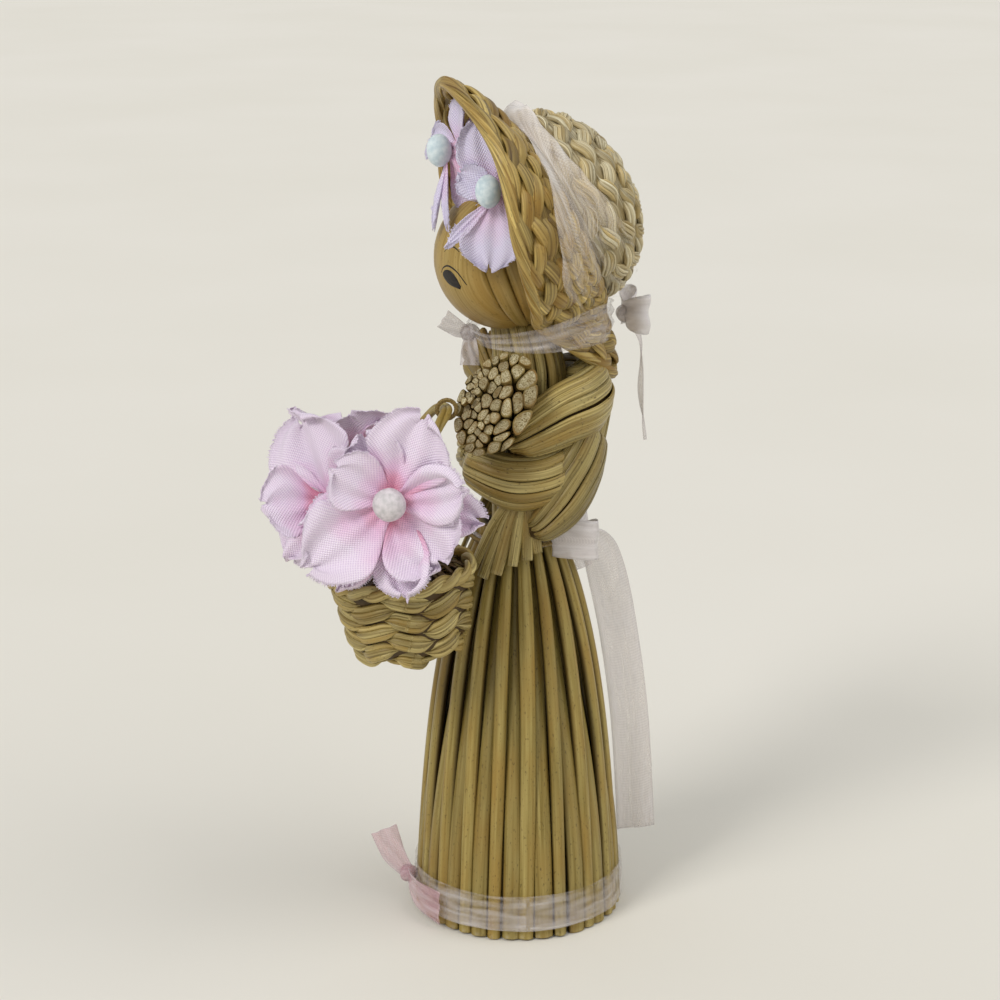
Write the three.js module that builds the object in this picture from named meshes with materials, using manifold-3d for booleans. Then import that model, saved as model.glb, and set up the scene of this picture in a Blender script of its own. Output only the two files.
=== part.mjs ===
// A lady doll made of dried rush: a bell skirt of folded stems, a plaited bodice, stub arms, a ball head
// under a straw bonnet, sheer ribbons, cloth blossoms and a hanging flower basket. Millimetres, +Z up. The
// doll faces -Y, its left is +X, and the origin is the middle of the skirt's foot.
import * as THREE from "three";
import { mergeVertices } from "three/addons/utils/BufferGeometryUtils.js";
import Module from "manifold-3d";

const wasm = await Module();
wasm.setup();

// Air left between neighbouring pieces.
const GAP = 0.3;

// Skirt: folded rush stems on a bell outline, a card foot inside them and a thread round the waist.
const STEM_COUNT = 19;
const HEM_RADIUS = 19;
const LOWER_SKIRT_RADIUS = 17.6;
const LOWER_SKIRT_HEIGHT = 28;
const HIP_RADIUS = 15.5;
const HIP_HEIGHT = 56;
const WAIST_RADIUS = 7.4;
const WAIST_HEIGHT = 71;
const BASE_THICKNESS = 1.5;
const THREAD_DIAMETER = 0.8;
const THREAD_DROP = 0.6;

// Body: a bound bundle from the waist to the neck, with broad plaited strands round it. A rise is measured
// from the waist.
const CORE_FOOT_DEPTH = 10;
const CHEST_CORE_RADIUS = 6.2;
const CHEST_RADIUS = 12.8;
const CHEST_SETBACK = 1.5;
const CHEST_FOOT_RISE = 6;
const SHOULDER_RISE = 25;
const NECK_RADIUS = 4.8;

// Arms: short flared bundles with domed cut ends.
const ARM_ROOT_RADIUS = 4;
const ARM_END_RADIUS = 7.5;
const ARM_REACH = 14.2;
const ARM_FORWARD = 5.4;
const RIGHT_ARM_FORWARD = 2;
const ARM_ROOT_RISE = 21;
const ARM_END_RISE = 25.6;
const ARM_DOME = 1.6;

// Head: a ball under flattened rush leaves, turned a little to the doll's left.
const HEAD_RADIUS = 12.4;
const HEAD_RISE = 48.8;
const HEAD_FORWARD = 2.2;
const HEAD_TURN = 9;
const LEAF_THICKNESS = 0.4;
const FACE_LEAF_HALF_ANGLE = 58;
const SIDE_LEAF_ANGLE = 52;
const LEAF_TILT = 20;
const LEAF_LATITUDE = 64;

// Bonnet: a woven dome behind the head's middle and above it, and a plaited brim that the chin ribbon draws
// in.
const CROWN_RADIUS = 17.9;
const CROWN_DEPTH = 14;
const CROWN_WALL = 1.2;
const CROWN_SETBACK = 8.3;
const CROWN_RISE = 7.6;
const CROWN_PITCH = 28;
const BRIM_THICKNESS = 1.8;
const BAND_WIDTH = 7.5;
// The crown's coiled rows and the depth of the grooves between them.
const CROWN_ROWS = 6;
const ROW_GROOVE = 0.7;
// The brim's plaits, from the crown out: share of the way to the edge and share of the brim's thickness.
const BRIM_PLAITS = [
  { way: 0.2, share: 1.15 },
  { way: 0.41, share: 0.4 },
  { way: 0.63, share: 1.2 },
  { way: 0.84, share: 0.45 },
];
const BRIM_ROLL = 1.25;
// The brim's free edge: angle from the top, distance from the crown's axis and reach in front of the crown.
const BRIM_EDGE = [
  { angle: 0, radius: 28.4, reach: 6.5 },
  { angle: 45, radius: 26.8, reach: 7.4 },
  { angle: 80, radius: 24, reach: 12.4 },
  { angle: 110, radius: 20.8, reach: 14 },
  { angle: 137, radius: 17.9, reach: 13.6 },
  { angle: 159, radius: 23.4, reach: 9 },
  { angle: 180, radius: 31, reach: 4.4 },
];

// Ribbons: sheer strip, tied at the chin, nape, waist and hem.
const RIBBON_WIDTH = 7;
const RIBBON_THICKNESS = 0.4;
const GATHERED_WIDTH = 4;
const HEM_RIBBON_HEIGHT = 2.2;
const HEM_RIBBON_WIDTH = 6.5;
const WAIST_RIBBON_DROP = 5.8;
const KNOT_RADIUS = 1.6;
const WAIST_LOOP_LENGTH = 8.8;
const WAIST_TAIL_END = 12;
const NAPE_LOOP_LENGTH = 5.6;
const NAPE_TAIL_LENGTH = 23;
const NAPE_TAIL_WIDTH = 1.3;
const CHIN_TAIL_LENGTH = 5;
const HEM_END_REACH = 7.5;

// Blossoms: cupped cloth flowers with a round pip on a stalk.
const PETAL_THICKNESS = 0.6;
const PETAL_COUNT = 5;
const PETAL_NOTCH = 0.34;
const PETAL_CUP = 0.22;
const STALK_RADIUS = 0.6;
const PIP_RADIUS = 2.9;
const HAT_BLOSSOM_RADIUS = 8.8;
const BASKET_BLOSSOM_RADIUS = 14.4;

// Basket: a woven bowl that hangs by a hoop handle from a thread on the left arm, its foot below the arm's
// end.
const BASKET_HEIGHT = 14.6;
const BASKET_RIM_RADIUS = 12.7;
const BASKET_FOOT_RADIUS = 8.6;
const BASKET_WALL = 1.6;
const BASKET_BEARING = 35;
const BASKET_DROP = 42.2;
const BASKET_TILT = 6;
const BASKET_CLEARANCE = 1;
const FILLER_CROWN = 3;
const HANDLE_DIAMETER = 1.8;
const TIE_DIAMETER = 0.8;

// Facet counts.
const STEM_SIDES = 6;
const LEG_STEPS = 7;
const FOLD_STEPS = 4;
const STRAND_SIDES = 10;
const STRAND_STEPS = 9;
const ROUND_SIDES = 28;

const rad = THREE.MathUtils.degToRad;
const lerp = THREE.MathUtils.lerp;
const vec = (x, y, z) => new THREE.Vector3(x, y, z);
const UP = vec(0, 0, 1);
const LEFT = vec(1, 0, 0);
const FLAT = [[1, 1], [-1, 1], [-1, -1], [1, -1]];

const MATERIALS = {
  rush: new THREE.MeshStandardMaterial({ color: 0x9c8443, roughness: 0.55, metalness: 0 }),
  leaf: new THREE.MeshStandardMaterial({ color: 0xb08a3c, roughness: 0.5, metalness: 0 }),
  straw: new THREE.MeshStandardMaterial({ color: 0xb59a4e, roughness: 0.55, metalness: 0 }),
  card: new THREE.MeshStandardMaterial({ color: 0xa89468, roughness: 0.9, metalness: 0 }),
  thread: new THREE.MeshStandardMaterial({ color: 0xd8cfb8, roughness: 0.8, metalness: 0 }),
  ribbon: new THREE.MeshStandardMaterial({ color: 0xe6d6d8, roughness: 0.6, metalness: 0 }),
  petal: new THREE.MeshStandardMaterial({ color: 0xe8bfe0, roughness: 0.7, metalness: 0 }),
  pip: new THREE.MeshStandardMaterial({ color: 0xe4ead8, roughness: 0.5, metalness: 0 }),
};

// A regular polygon of unit radius, as pairs of numbers.
function polygon(sides) {
  return Array.from({ length: sides }, (_, i) => {
    const angle = (2 * Math.PI * (i + 0.5)) / sides;
    return [Math.cos(angle), Math.sin(angle)];
  });
}

// The signed volume that the triangles of an indexed geometry enclose.
function signedVolume(geometry) {
  const place = geometry.getAttribute("position");
  const index = geometry.getIndex().array;
  const [a, b, c] = [vec(), vec(), vec()];
  let volume = 0;
  for (let i = 0; i < index.length; i += 3) {
    a.fromBufferAttribute(place, index[i]);
    b.fromBufferAttribute(place, index[i + 1]);
    c.fromBufferAttribute(place, index[i + 2]);
    volume += a.dot(b.cross(c)) / 6;
  }
  return volume;
}

// The same closed shape with shared vertices and its faces turned outward.
function closedShape(geometry) {
  geometry.deleteAttribute("normal");
  geometry.deleteAttribute("uv");
  const merged = mergeVertices(geometry, 1e-4);
  if (signedVolume(merged) < 0) {
    merged.getIndex().array.reverse();
  }
  return merged;
}

// A closed skin over a row of rings with equal point counts, capped at both ends or joined into a loop.
function skin(rings, loop = false) {
  const count = rings[0].length;
  const faces = [];
  const last = loop ? rings.length : rings.length - 1;
  const at = (ring, i) => (ring % rings.length) * count + (i % count);
  for (let r = 0; r < last; r += 1) {
    for (let i = 0; i < count; i += 1) {
      faces.push(at(r, i), at(r, i + 1), at(r + 1, i + 1));
      faces.push(at(r, i), at(r + 1, i + 1), at(r + 1, i));
    }
  }
  if (!loop) {
    for (let i = 0; i < count / 2 - 1; i += 1) {
      const [a, b, c, d] = [i, i + 1, count - 2 - i, count - 1 - i];
      const e = (rings.length - 1) * count;
      faces.push(b, a, c, c, a, d);
      faces.push(e + a, e + b, e + c, e + a, e + c, e + d);
    }
  }
  const geometry = new THREE.BufferGeometry();
  const flat = rings.flat().flatMap((p) => [p.x, p.y, p.z]);
  geometry.setAttribute("position", new THREE.Float32BufferAttribute(flat, 3));
  geometry.setIndex(faces);
  return closedShape(geometry);
}

// The points of one cross-section about a centre.
function sectionRing(centre, across, out, halfWidth, halfThickness, shape) {
  return shape.map(([x, y]) =>
    centre.clone().addScaledVector(across, x * halfWidth).addScaledVector(out, y * halfThickness));
}

// A strip or rod along a curve. facing gives the way its flat side looks, width and thickness its half sizes.
function sweep({ curve, steps, width, thickness, facing, shape, loop = false }) {
  const rings = [];
  const count = loop ? steps : steps + 1;
  for (let i = 0; i < count; i += 1) {
    const t = i / steps;
    const centre = curve.getPoint(t);
    const tangent = curve.getTangent(t);
    const out = facing(t, centre, tangent).clone();
    out.addScaledVector(tangent, -out.dot(tangent)).normalize();
    const across = out.clone().cross(tangent);
    rings.push(sectionRing(centre, across, out, width(t), thickness(t), shape));
  }
  return skin(rings, loop);
}

// A smooth curve through points.
function through(points, loop = false) {
  return new THREE.CatmullRomCurve3(points, loop, "centripetal");
}

// A piecewise straight reading of a list of values over 0 to 1.
function along(values) {
  return (t) => {
    const place = Math.min(t, 1) * (values.length - 1);
    const i = Math.min(Math.floor(place), values.length - 2);
    return lerp(values[i], values[i + 1], place - i);
  };
}

// A geometry as a solid that can be joined and cut, and back.
function toSolid(geometry) {
  const mesh = new wasm.Mesh({
    numProp: 3,
    vertProperties: new Float32Array(geometry.getAttribute("position").array),
    triVerts: new Uint32Array(geometry.getIndex().array),
  });
  return new wasm.Manifold(mesh);
}

function toGeometry(solid) {
  const mesh = solid.getMesh();
  const geometry = new THREE.BufferGeometry();
  geometry.setAttribute("position", new THREE.Float32BufferAttribute(mesh.vertProperties, 3));
  geometry.setIndex(Array.from(mesh.triVerts));
  return geometry;
}

// Pieces joined into one body.
function joined(...geometries) {
  return toGeometry(geometries.map(toSolid).reduce((whole, next) => whole.add(next)));
}

// A piece cut back from its neighbours. Slivers that the cut leaves loose go.
function trimmed(geometry, ...cutters) {
  let solid = toSolid(geometry);
  for (const cutter of cutters) {
    solid = solid.subtract(toSolid(cutter));
  }
  const bodies = solid.decompose();
  return toGeometry(bodies.reduce((big, next) => (next.volume() > big.volume() ? next : big)));
}

// A ball.
function ball(radius, centre, sides = ROUND_SIDES) {
  const geometry = new THREE.SphereGeometry(radius, sides, Math.round(sides / 2));
  geometry.translate(centre.x, centre.y, centre.z);
  return closedShape(geometry);
}

// A solid of revolution about +Z from [radius, height] points.
function turned(points, sides = ROUND_SIDES) {
  const geometry = new THREE.LatheGeometry(points.map(([r, z]) => new THREE.Vector2(r, z)), sides);
  geometry.rotateX(Math.PI / 2);
  return closedShape(geometry);
}

// A ring of round section whose axis is the given direction.
function threadRing(radius, threadRadius, centre, axis, sides) {
  const geometry = new THREE.TorusGeometry(radius, threadRadius, 5, sides);
  geometry.applyQuaternion(new THREE.Quaternion().setFromUnitVectors(UP, axis));
  geometry.translate(centre.x, centre.y, centre.z);
  return closedShape(geometry);
}

// The mirror image across the doll's middle plane.
function mirrored(geometry) {
  const copy = geometry.clone();
  copy.applyMatrix4(new THREE.Matrix4().makeScale(-1, 1, 1));
  return closedShape(copy);
}

const doll = new THREE.Group();

// Puts a named piece into a group.
function place(group, name, geometry, material) {
  const mesh = new THREE.Mesh(geometry, material);
  mesh.name = name;
  group.add(mesh);
  return mesh;
}

// Skirt outline: radius against height on one smooth curve.
const skirtOutline = new THREE.CubicBezierCurve(
  new THREE.Vector2(HEM_RADIUS, 0),
  new THREE.Vector2(LOWER_SKIRT_RADIUS, LOWER_SKIRT_HEIGHT),
  new THREE.Vector2(HIP_RADIUS, HIP_HEIGHT),
  new THREE.Vector2(WAIST_RADIUS, WAIST_HEIGHT),
);

// The skirt's outer radius at a height.
function skirtRadius(height) {
  let [low, high] = [0, 1];
  for (let i = 0; i < 40; i += 1) {
    const middle = (low + high) / 2;
    if (skirtOutline.getPoint(middle).y < height) {
      low = middle;
    } else {
      high = middle;
    }
  }
  return skirtOutline.getPoint(low).x;
}

// Leg widths: the hem has all legs in one ring, the waist an outer and an inner ring.
const legAngle = Math.PI / STEM_COUNT;
const hemLegWidth = (2 * HEM_RADIUS * Math.sin(legAngle / 2) - GAP) / (1 + Math.sin(legAngle / 2));
const waistOuterWidth = (2 * WAIST_RADIUS * Math.sin(legAngle) - GAP) / (1 + Math.sin(legAngle));

// The inner ring's radius at which its legs just clear the outer legs beside them.
function innerRing(outerRadius, outerWidth, innerWidth) {
  const reach = (outerWidth + innerWidth) / 2 + GAP;
  const side = outerRadius * Math.sin(legAngle);
  return outerRadius * Math.cos(legAngle) - Math.sqrt(Math.max(0, reach ** 2 - side ** 2));
}

const waistOuterRing = WAIST_RADIUS - waistOuterWidth / 2;
let waistInnerWidth = waistOuterWidth;
for (let i = 0; i < 30; i += 1) {
  const radius = innerRing(waistOuterRing, waistOuterWidth, waistInnerWidth);
  waistInnerWidth = lerp(waistInnerWidth, 2 * radius * Math.sin(legAngle) - GAP, 0.5);
}

// Radii and widths of both legs where the outline's parameter is t.
function legSizes(t) {
  const point = skirtOutline.getPoint(t);
  const share = (point.x - WAIST_RADIUS) / (HEM_RADIUS - WAIST_RADIUS);
  const outerWidth = lerp(waistOuterWidth, hemLegWidth, share);
  const innerWidth = lerp(waistInnerWidth, hemLegWidth, share);
  const outerRadius = point.x - outerWidth / 2;
  const innerRadius = t === 0 ? outerRadius : innerRing(outerRadius, outerWidth, innerWidth);
  return { height: point.y, outerRadius, outerWidth, innerRadius, innerWidth };
}

const waistLegs = legSizes(1);
const foldRadius = ((waistOuterWidth + waistInnerWidth) / 2 + GAP) / 2;
const foldTop = WAIST_HEIGHT + foldRadius + waistOuterWidth / 2;

// One rush stem folded over at the waist: an outer leg up, a tight fold, and an inner leg down beside it.
function foldedStem(number) {
  const angle = 2 * legAngle * number;
  const ringPoint = (radius, turn, height) =>
    vec(radius * Math.cos(angle + turn), radius * Math.sin(angle + turn), height);
  const outerTop = ringPoint(waistLegs.outerRadius, 0, WAIST_HEIGHT);
  const innerTop = ringPoint(waistLegs.innerRadius, legAngle, WAIST_HEIGHT);
  const inward = innerTop.clone().sub(outerTop).normalize();
  const across = UP.clone().cross(inward);
  const middle = outerTop.clone().lerp(innerTop, 0.5);
  const shape = polygon(STEM_SIDES);
  const rings = [];
  for (let i = 0; i < LEG_STEPS; i += 1) {
    const leg = legSizes(i / LEG_STEPS);
    const centre = ringPoint(leg.outerRadius, 0, leg.height);
    const half = leg.outerWidth / 2;
    rings.push(sectionRing(centre, across, inward.clone().negate(), half, half, shape));
  }
  for (let i = 0; i <= FOLD_STEPS; i += 1) {
    const turn = (Math.PI * i) / FOLD_STEPS;
    const out = inward.clone().multiplyScalar(-Math.cos(turn)).addScaledVector(UP, Math.sin(turn));
    const centre = middle.clone().addScaledVector(out, foldRadius);
    const half = lerp(waistOuterWidth, waistInnerWidth, i / FOLD_STEPS) / 2;
    rings.push(sectionRing(centre, across, out, half, half, shape));
  }
  for (let i = LEG_STEPS - 1; i >= 0; i -= 1) {
    const leg = legSizes(i / LEG_STEPS);
    const centre = ringPoint(leg.innerRadius, legAngle, leg.height);
    const half = leg.innerWidth / 2;
    rings.push(sectionRing(centre, across, inward, half, half, shape));
  }
  return skin(rings);
}

for (let i = 0; i < STEM_COUNT; i += 1) {
  place(doll, `skirt_stem_${String(i + 1).padStart(2, "0")}`, foldedStem(i), MATERIALS.rush);
}

// Foot: a card disc that keeps the skirt's mouth round and stands on the table with the stems' cut ends.
const hemLegs = legSizes(0);
const footRadius = hemLegs.innerRadius - hemLegWidth / 2 - 2 * GAP;
const footOutline = [[0, 0], [footRadius, 0], [footRadius, BASE_THICKNESS], [0, BASE_THICKNESS]];
place(doll, "base_disc", turned(footOutline, 2 * STEM_COUNT), MATERIALS.card);

// Thread that binds the stems to the body bundle.
const threadHeight = WAIST_HEIGHT - THREAD_DROP;
const threadRingRadius = skirtRadius(threadHeight - THREAD_DIAMETER / 2) + GAP + THREAD_DIAMETER / 2;
const threadCentre = vec(0, 0, threadHeight);
const binding = threadRing(threadRingRadius, THREAD_DIAMETER / 2, threadCentre, UP, 2 * STEM_COUNT);
place(doll, "waist_thread", binding, MATERIALS.thread);

// Head frame: turned about the doll's upright axis.
const head = new THREE.Group();
head.rotation.z = rad(HEAD_TURN);
doll.add(head);
const headCentre = vec(0, -HEAD_FORWARD, WAIST_HEIGHT + HEAD_RISE);
const headCentreInDoll = headCentre.clone().applyAxisAngle(UP, rad(HEAD_TURN));

// Body bundle: thin inside the waist, full at the chest, leaning forward to the neck, hollowed to seat the
// head.
const coreWaistRadius = waistLegs.innerRadius - waistInnerWidth / 2 - GAP;
const chestFoot = WAIST_HEIGHT + CHEST_FOOT_RISE;
const neckTop = headCentre.z - HEAD_RADIUS + 2;
const shoulderHeight = WAIST_HEIGHT + SHOULDER_RISE;
const coreSections = [
  { height: WAIST_HEIGHT - CORE_FOOT_DEPTH, back: 0, radius: coreWaistRadius },
  { height: foldTop + GAP, back: 0, radius: coreWaistRadius },
  { height: chestFoot, back: CHEST_SETBACK, radius: CHEST_CORE_RADIUS },
  { height: shoulderHeight, back: CHEST_SETBACK, radius: CHEST_CORE_RADIUS },
  { height: lerp(shoulderHeight, neckTop, 0.5), back: 0, radius: NECK_RADIUS },
  { height: neckTop, back: -HEAD_FORWARD / 2, radius: NECK_RADIUS },
];

function coreShape(extra) {
  const rings = coreSections.map(({ height, back, radius }) =>
    sectionRing(vec(0, back, height), LEFT, vec(0, 1, 0), radius + extra, radius + extra, polygon(20)));
  return skin(rings);
}

const core = trimmed(coreShape(0), ball(HEAD_RADIUS + GAP, headCentreInDoll));
place(doll, "body_bundle", core, MATERIALS.rush);

// Basket frame. It hangs clear of the skirt on its bearing from the front.
const basketFootHeight = WAIST_HEIGHT + ARM_END_RISE - BASKET_DROP;
const basketHip = BASKET_FOOT_RADIUS + BASKET_WALL;
const basketRadius = (height) => lerp(basketHip, BASKET_RIM_RADIUS, height / BASKET_HEIGHT);
let basketDistance = 0;
for (let i = 0; i <= 10; i += 1) {
  const height = (BASKET_HEIGHT * i) / 10;
  const swell = BASKET_RIM_RADIUS * Math.sin(rad(BASKET_TILT));
  const needed = skirtRadius(basketFootHeight + height - swell) + basketRadius(height);
  basketDistance = Math.max(basketDistance, needed + BASKET_CLEARANCE);
}
const basket = new THREE.Group();
basket.position.set(
  basketDistance * Math.sin(rad(BASKET_BEARING)),
  -basketDistance * Math.cos(rad(BASKET_BEARING)),
  basketFootHeight,
);
basket.rotation.x = rad(BASKET_TILT);
basket.updateMatrixWorld();
doll.add(basket);

// The hoop's top lies just in front of the left arm, where a thread ring ties it.
const armEndAt = (forward) => vec(ARM_REACH, -forward, WAIST_HEIGHT + ARM_END_RISE);
const armRootAt = (forward) => vec(CHEST_CORE_RADIUS / 2, -forward / 2, WAIST_HEIGHT + ARM_ROOT_RISE);
const armEnd = armEndAt(ARM_FORWARD);
const armRoot = armRootAt(ARM_FORWARD);
const armShare = (basket.position.x - armRoot.x) / (armEnd.x - armRoot.x);
const armCentreAtTie = armRoot.clone().lerp(armEnd, armShare);
const armRadiusAtTie = lerp(ARM_ROOT_RADIUS, ARM_END_RADIUS, armShare);
const tieRadius = HANDLE_DIAMETER / 2 + GAP + TIE_DIAMETER / 2;
const handleTop = vec(
  basket.position.x,
  armCentreAtTie.y - armRadiusAtTie - HANDLE_DIAMETER / 2,
  armCentreAtTie.z,
);
const handleTie = threadRing(tieRadius, TIE_DIAMETER / 2, handleTop, LEFT, 16);
const handleTieClearance = threadRing(tieRadius, TIE_DIAMETER / 2 + GAP, handleTop, LEFT, 16);
place(doll, "handle_tie", handleTie, MATERIALS.thread);

// Arms: bundles that flare from the body to a domed end of cut stems.
function armShape(forward, extra) {
  const root = armRootAt(forward);
  const end = armEndAt(forward);
  const reach = end.clone().sub(root).normalize();
  const across = reach.clone().cross(UP).normalize();
  const out = across.clone().cross(reach);
  const ring = (centre, radius) =>
    sectionRing(centre, across, out, radius + extra, radius + extra, polygon(16));
  const dome = (share) => end.clone().addScaledVector(reach, ARM_DOME * share + extra);
  return skin([
    ring(root.clone().addScaledVector(reach, -extra), ARM_ROOT_RADIUS),
    ring(root.clone().lerp(end, 0.5), lerp(ARM_ROOT_RADIUS, ARM_END_RADIUS, 0.5)),
    ring(dome(0), ARM_END_RADIUS),
    ring(dome(0.7), ARM_END_RADIUS * 0.8),
    ring(dome(1), ARM_END_RADIUS * 0.45),
  ]);
}

const leftArm = trimmed(armShape(ARM_FORWARD, 0), coreShape(GAP), handleTieClearance);
const rightArm = mirrored(trimmed(armShape(RIGHT_ARM_FORWARD, 0), coreShape(GAP)));
place(doll, "left_arm", leftArm, MATERIALS.rush);
place(doll, "right_arm", rightArm, MATERIALS.rush);

// Plaited strands. A key gives the angle round the chest from the doll's left, the height above the waist,
// the half width and how far the strand swells out there.
const strandRing = (CHEST_CORE_RADIUS + GAP + CHEST_RADIUS) / 2;
const strandHalfThickness = (CHEST_RADIUS - CHEST_CORE_RADIUS - GAP) / 2;

function strand(keys, extra = 0) {
  const point = ({ angle, height, swell }) => vec(
    (strandRing + swell) * Math.cos(rad(angle)),
    CHEST_SETBACK + (strandRing + swell) * Math.sin(rad(angle)),
    WAIST_HEIGHT + height,
  );
  const width = along(keys.map((key) => key.halfWidth));
  return sweep({
    curve: through(keys.map(point)),
    steps: STRAND_STEPS,
    width: (t) => width(t) + extra,
    thickness: () => strandHalfThickness + extra,
    facing: (t, centre) => vec(centre.x, centre.y - CHEST_SETBACK, 0),
    shape: polygon(STRAND_SIDES),
  });
}

const SHOULDER_STRAND = [
  { angle: 76, height: 22.6, halfWidth: 4.6, swell: 1.8 },
  { angle: 52, height: 22.8, halfWidth: 5.4, swell: 1.5 },
  { angle: 25, height: 22, halfWidth: 5, swell: 0.6 },
  { angle: 0, height: 19.8, halfWidth: 3.8, swell: 0 },
  { angle: -24, height: 17.2, halfWidth: 2, swell: 0 },
];
const CHEST_STRAND = [
  { angle: -80, height: 13.8, halfWidth: 2.6, swell: 1.6 },
  { angle: -48, height: 12.4, halfWidth: 3.9, swell: 0.6 },
  { angle: -18, height: 11, halfWidth: 4.6, swell: 0 },
  { angle: 10, height: 11.4, halfWidth: 4.2, swell: 0 },
  { angle: 28, height: 12.6, halfWidth: 3, swell: 0 },
];
const BACK_STRAND = [
  { angle: 60, height: 15.4, halfWidth: 4, swell: 1.2 },
  { angle: 59, height: 11, halfWidth: 4.4, swell: 0.6 },
  { angle: 46, height: 7.4, halfWidth: 3.8, swell: 0.2 },
  { angle: 22, height: 4.6, halfWidth: 2.2, swell: 0 },
];
const SPINE_STRAND = [
  { angle: 90, height: 26, halfWidth: 2.2, swell: 2.2 },
  { angle: 90, height: 15, halfWidth: 2.4, swell: 1.2 },
  { angle: 90, height: 5.4, halfWidth: 1.8, swell: 0 },
];

// One side's shoulder and chest strands, cut back from the arm on that side.
function shoulderStrand(forward) {
  return trimmed(strand(SHOULDER_STRAND), armShape(forward, GAP), coreShape(GAP));
}

function chestStrand(forward) {
  return trimmed(strand(CHEST_STRAND), strand(SHOULDER_STRAND, GAP), armShape(forward, GAP), coreShape(GAP));
}

const backStrand = trimmed(
  strand(BACK_STRAND),
  strand(SHOULDER_STRAND, GAP),
  strand(CHEST_STRAND, GAP),
  coreShape(GAP),
);
const spineStrand = trimmed(
  strand(SPINE_STRAND),
  strand(SHOULDER_STRAND, GAP),
  mirrored(strand(SHOULDER_STRAND, GAP)),
  strand(BACK_STRAND, GAP),
  mirrored(strand(BACK_STRAND, GAP)),
  coreShape(GAP),
);
place(doll, "shoulder_strand_left", shoulderStrand(ARM_FORWARD), MATERIALS.rush);
place(doll, "shoulder_strand_right", mirrored(shoulderStrand(RIGHT_ARM_FORWARD)), MATERIALS.rush);
place(doll, "chest_strand_left", chestStrand(ARM_FORWARD), MATERIALS.rush);
place(doll, "chest_strand_right", mirrored(chestStrand(RIGHT_ARM_FORWARD)), MATERIALS.rush);
place(doll, "back_strand_left", backStrand, MATERIALS.rush);
place(doll, "back_strand_right", mirrored(backStrand), MATERIALS.rush);
place(doll, "spine_strand", spineStrand, MATERIALS.rush);

// Peplum: the strands' cut ends, splayed over the top of the skirt on each side.
const PEPLUM_THICKNESS = 1.8;
const PEPLUM_DROP = 5;
const peplumTop = threadRingRadius + THREAD_DIAMETER / 2 + GAP + PEPLUM_THICKNESS / 2;
const peplumLift = 4 * GAP + RIBBON_THICKNESS + PEPLUM_THICKNESS / 2;
const peplumFoot = skirtRadius(WAIST_HEIGHT - PEPLUM_DROP) + peplumLift;
const PEPLUM_SWEEP = [
  { angle: -6, height: 6, radius: peplumTop, halfWidth: 3.2 },
  { angle: -13, height: 0.6, radius: lerp(peplumTop, peplumFoot, 0.6), halfWidth: 4.2 },
  { angle: -20, height: -PEPLUM_DROP, radius: peplumFoot, halfWidth: 5 },
];
const peplumWidth = along(PEPLUM_SWEEP.map((key) => key.halfWidth));
const peplumLeft = trimmed(
  sweep({
    curve: through(PEPLUM_SWEEP.map(({ angle, height, radius }) =>
      vec(radius * Math.cos(rad(angle)), radius * Math.sin(rad(angle)), WAIST_HEIGHT + height))),
    steps: 6,
    width: peplumWidth,
    thickness: () => PEPLUM_THICKNESS / 2,
    facing: (t, centre) => vec(centre.x, centre.y, 0),
    shape: polygon(8),
  }),
  strand(CHEST_STRAND, GAP),
  strand(BACK_STRAND, GAP),
  coreShape(GAP),
);
place(doll, "peplum_left", peplumLeft, MATERIALS.rush);
place(doll, "peplum_right", mirrored(peplumLeft), MATERIALS.rush);

// A strip of ribbon round the skirt between two heights, on the stems.
function skirtBand(low, high) {
  const steps = 2;
  const rows = Array.from({ length: steps + 1 }, (_, i) => lerp(low, high, i / steps));
  const inner = rows.map((z) => [skirtRadius(z) + GAP, z]);
  const outer = rows.map((z) => [skirtRadius(z) + GAP + RIBBON_THICKNESS, z]).reverse();
  return turned([...inner, ...outer, inner[0]], 2 * STEM_COUNT);
}

// A flat ribbon loop that leaves a knot, swings out and comes back.
function ribbonLoop(knot, reach, upward, length, fullWidth) {
  const side = upward.clone().cross(reach).normalize();
  const points = [];
  for (let i = 0; i <= 10; i += 1) {
    const turn = (2 * Math.PI * i) / 10;
    const swing = 0.26 * length * Math.sin(turn) * Math.sin(turn / 2) + RIBBON_THICKNESS * Math.cos(turn / 2);
    points.push(knot.clone()
      .addScaledVector(reach, (length * (1 - Math.cos(turn))) / 2)
      .addScaledVector(side, swing));
  }
  return sweep({
    curve: through(points),
    steps: 18,
    width: (t) => lerp(fullWidth / 4, fullWidth / 2, Math.sin(Math.PI * t)),
    thickness: () => RIBBON_THICKNESS / 2,
    facing: (t, centre, tangent) => tangent.clone().cross(upward),
    shape: FLAT,
  });
}

// A short or long loose end of ribbon.
function ribbonTail(points, widths, facing, steps) {
  const width = along(widths);
  return sweep({
    curve: through(points),
    steps,
    width: (t) => width(t) / 2,
    thickness: () => RIBBON_THICKNESS / 2,
    facing: () => facing,
    shape: FLAT,
  });
}

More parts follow.
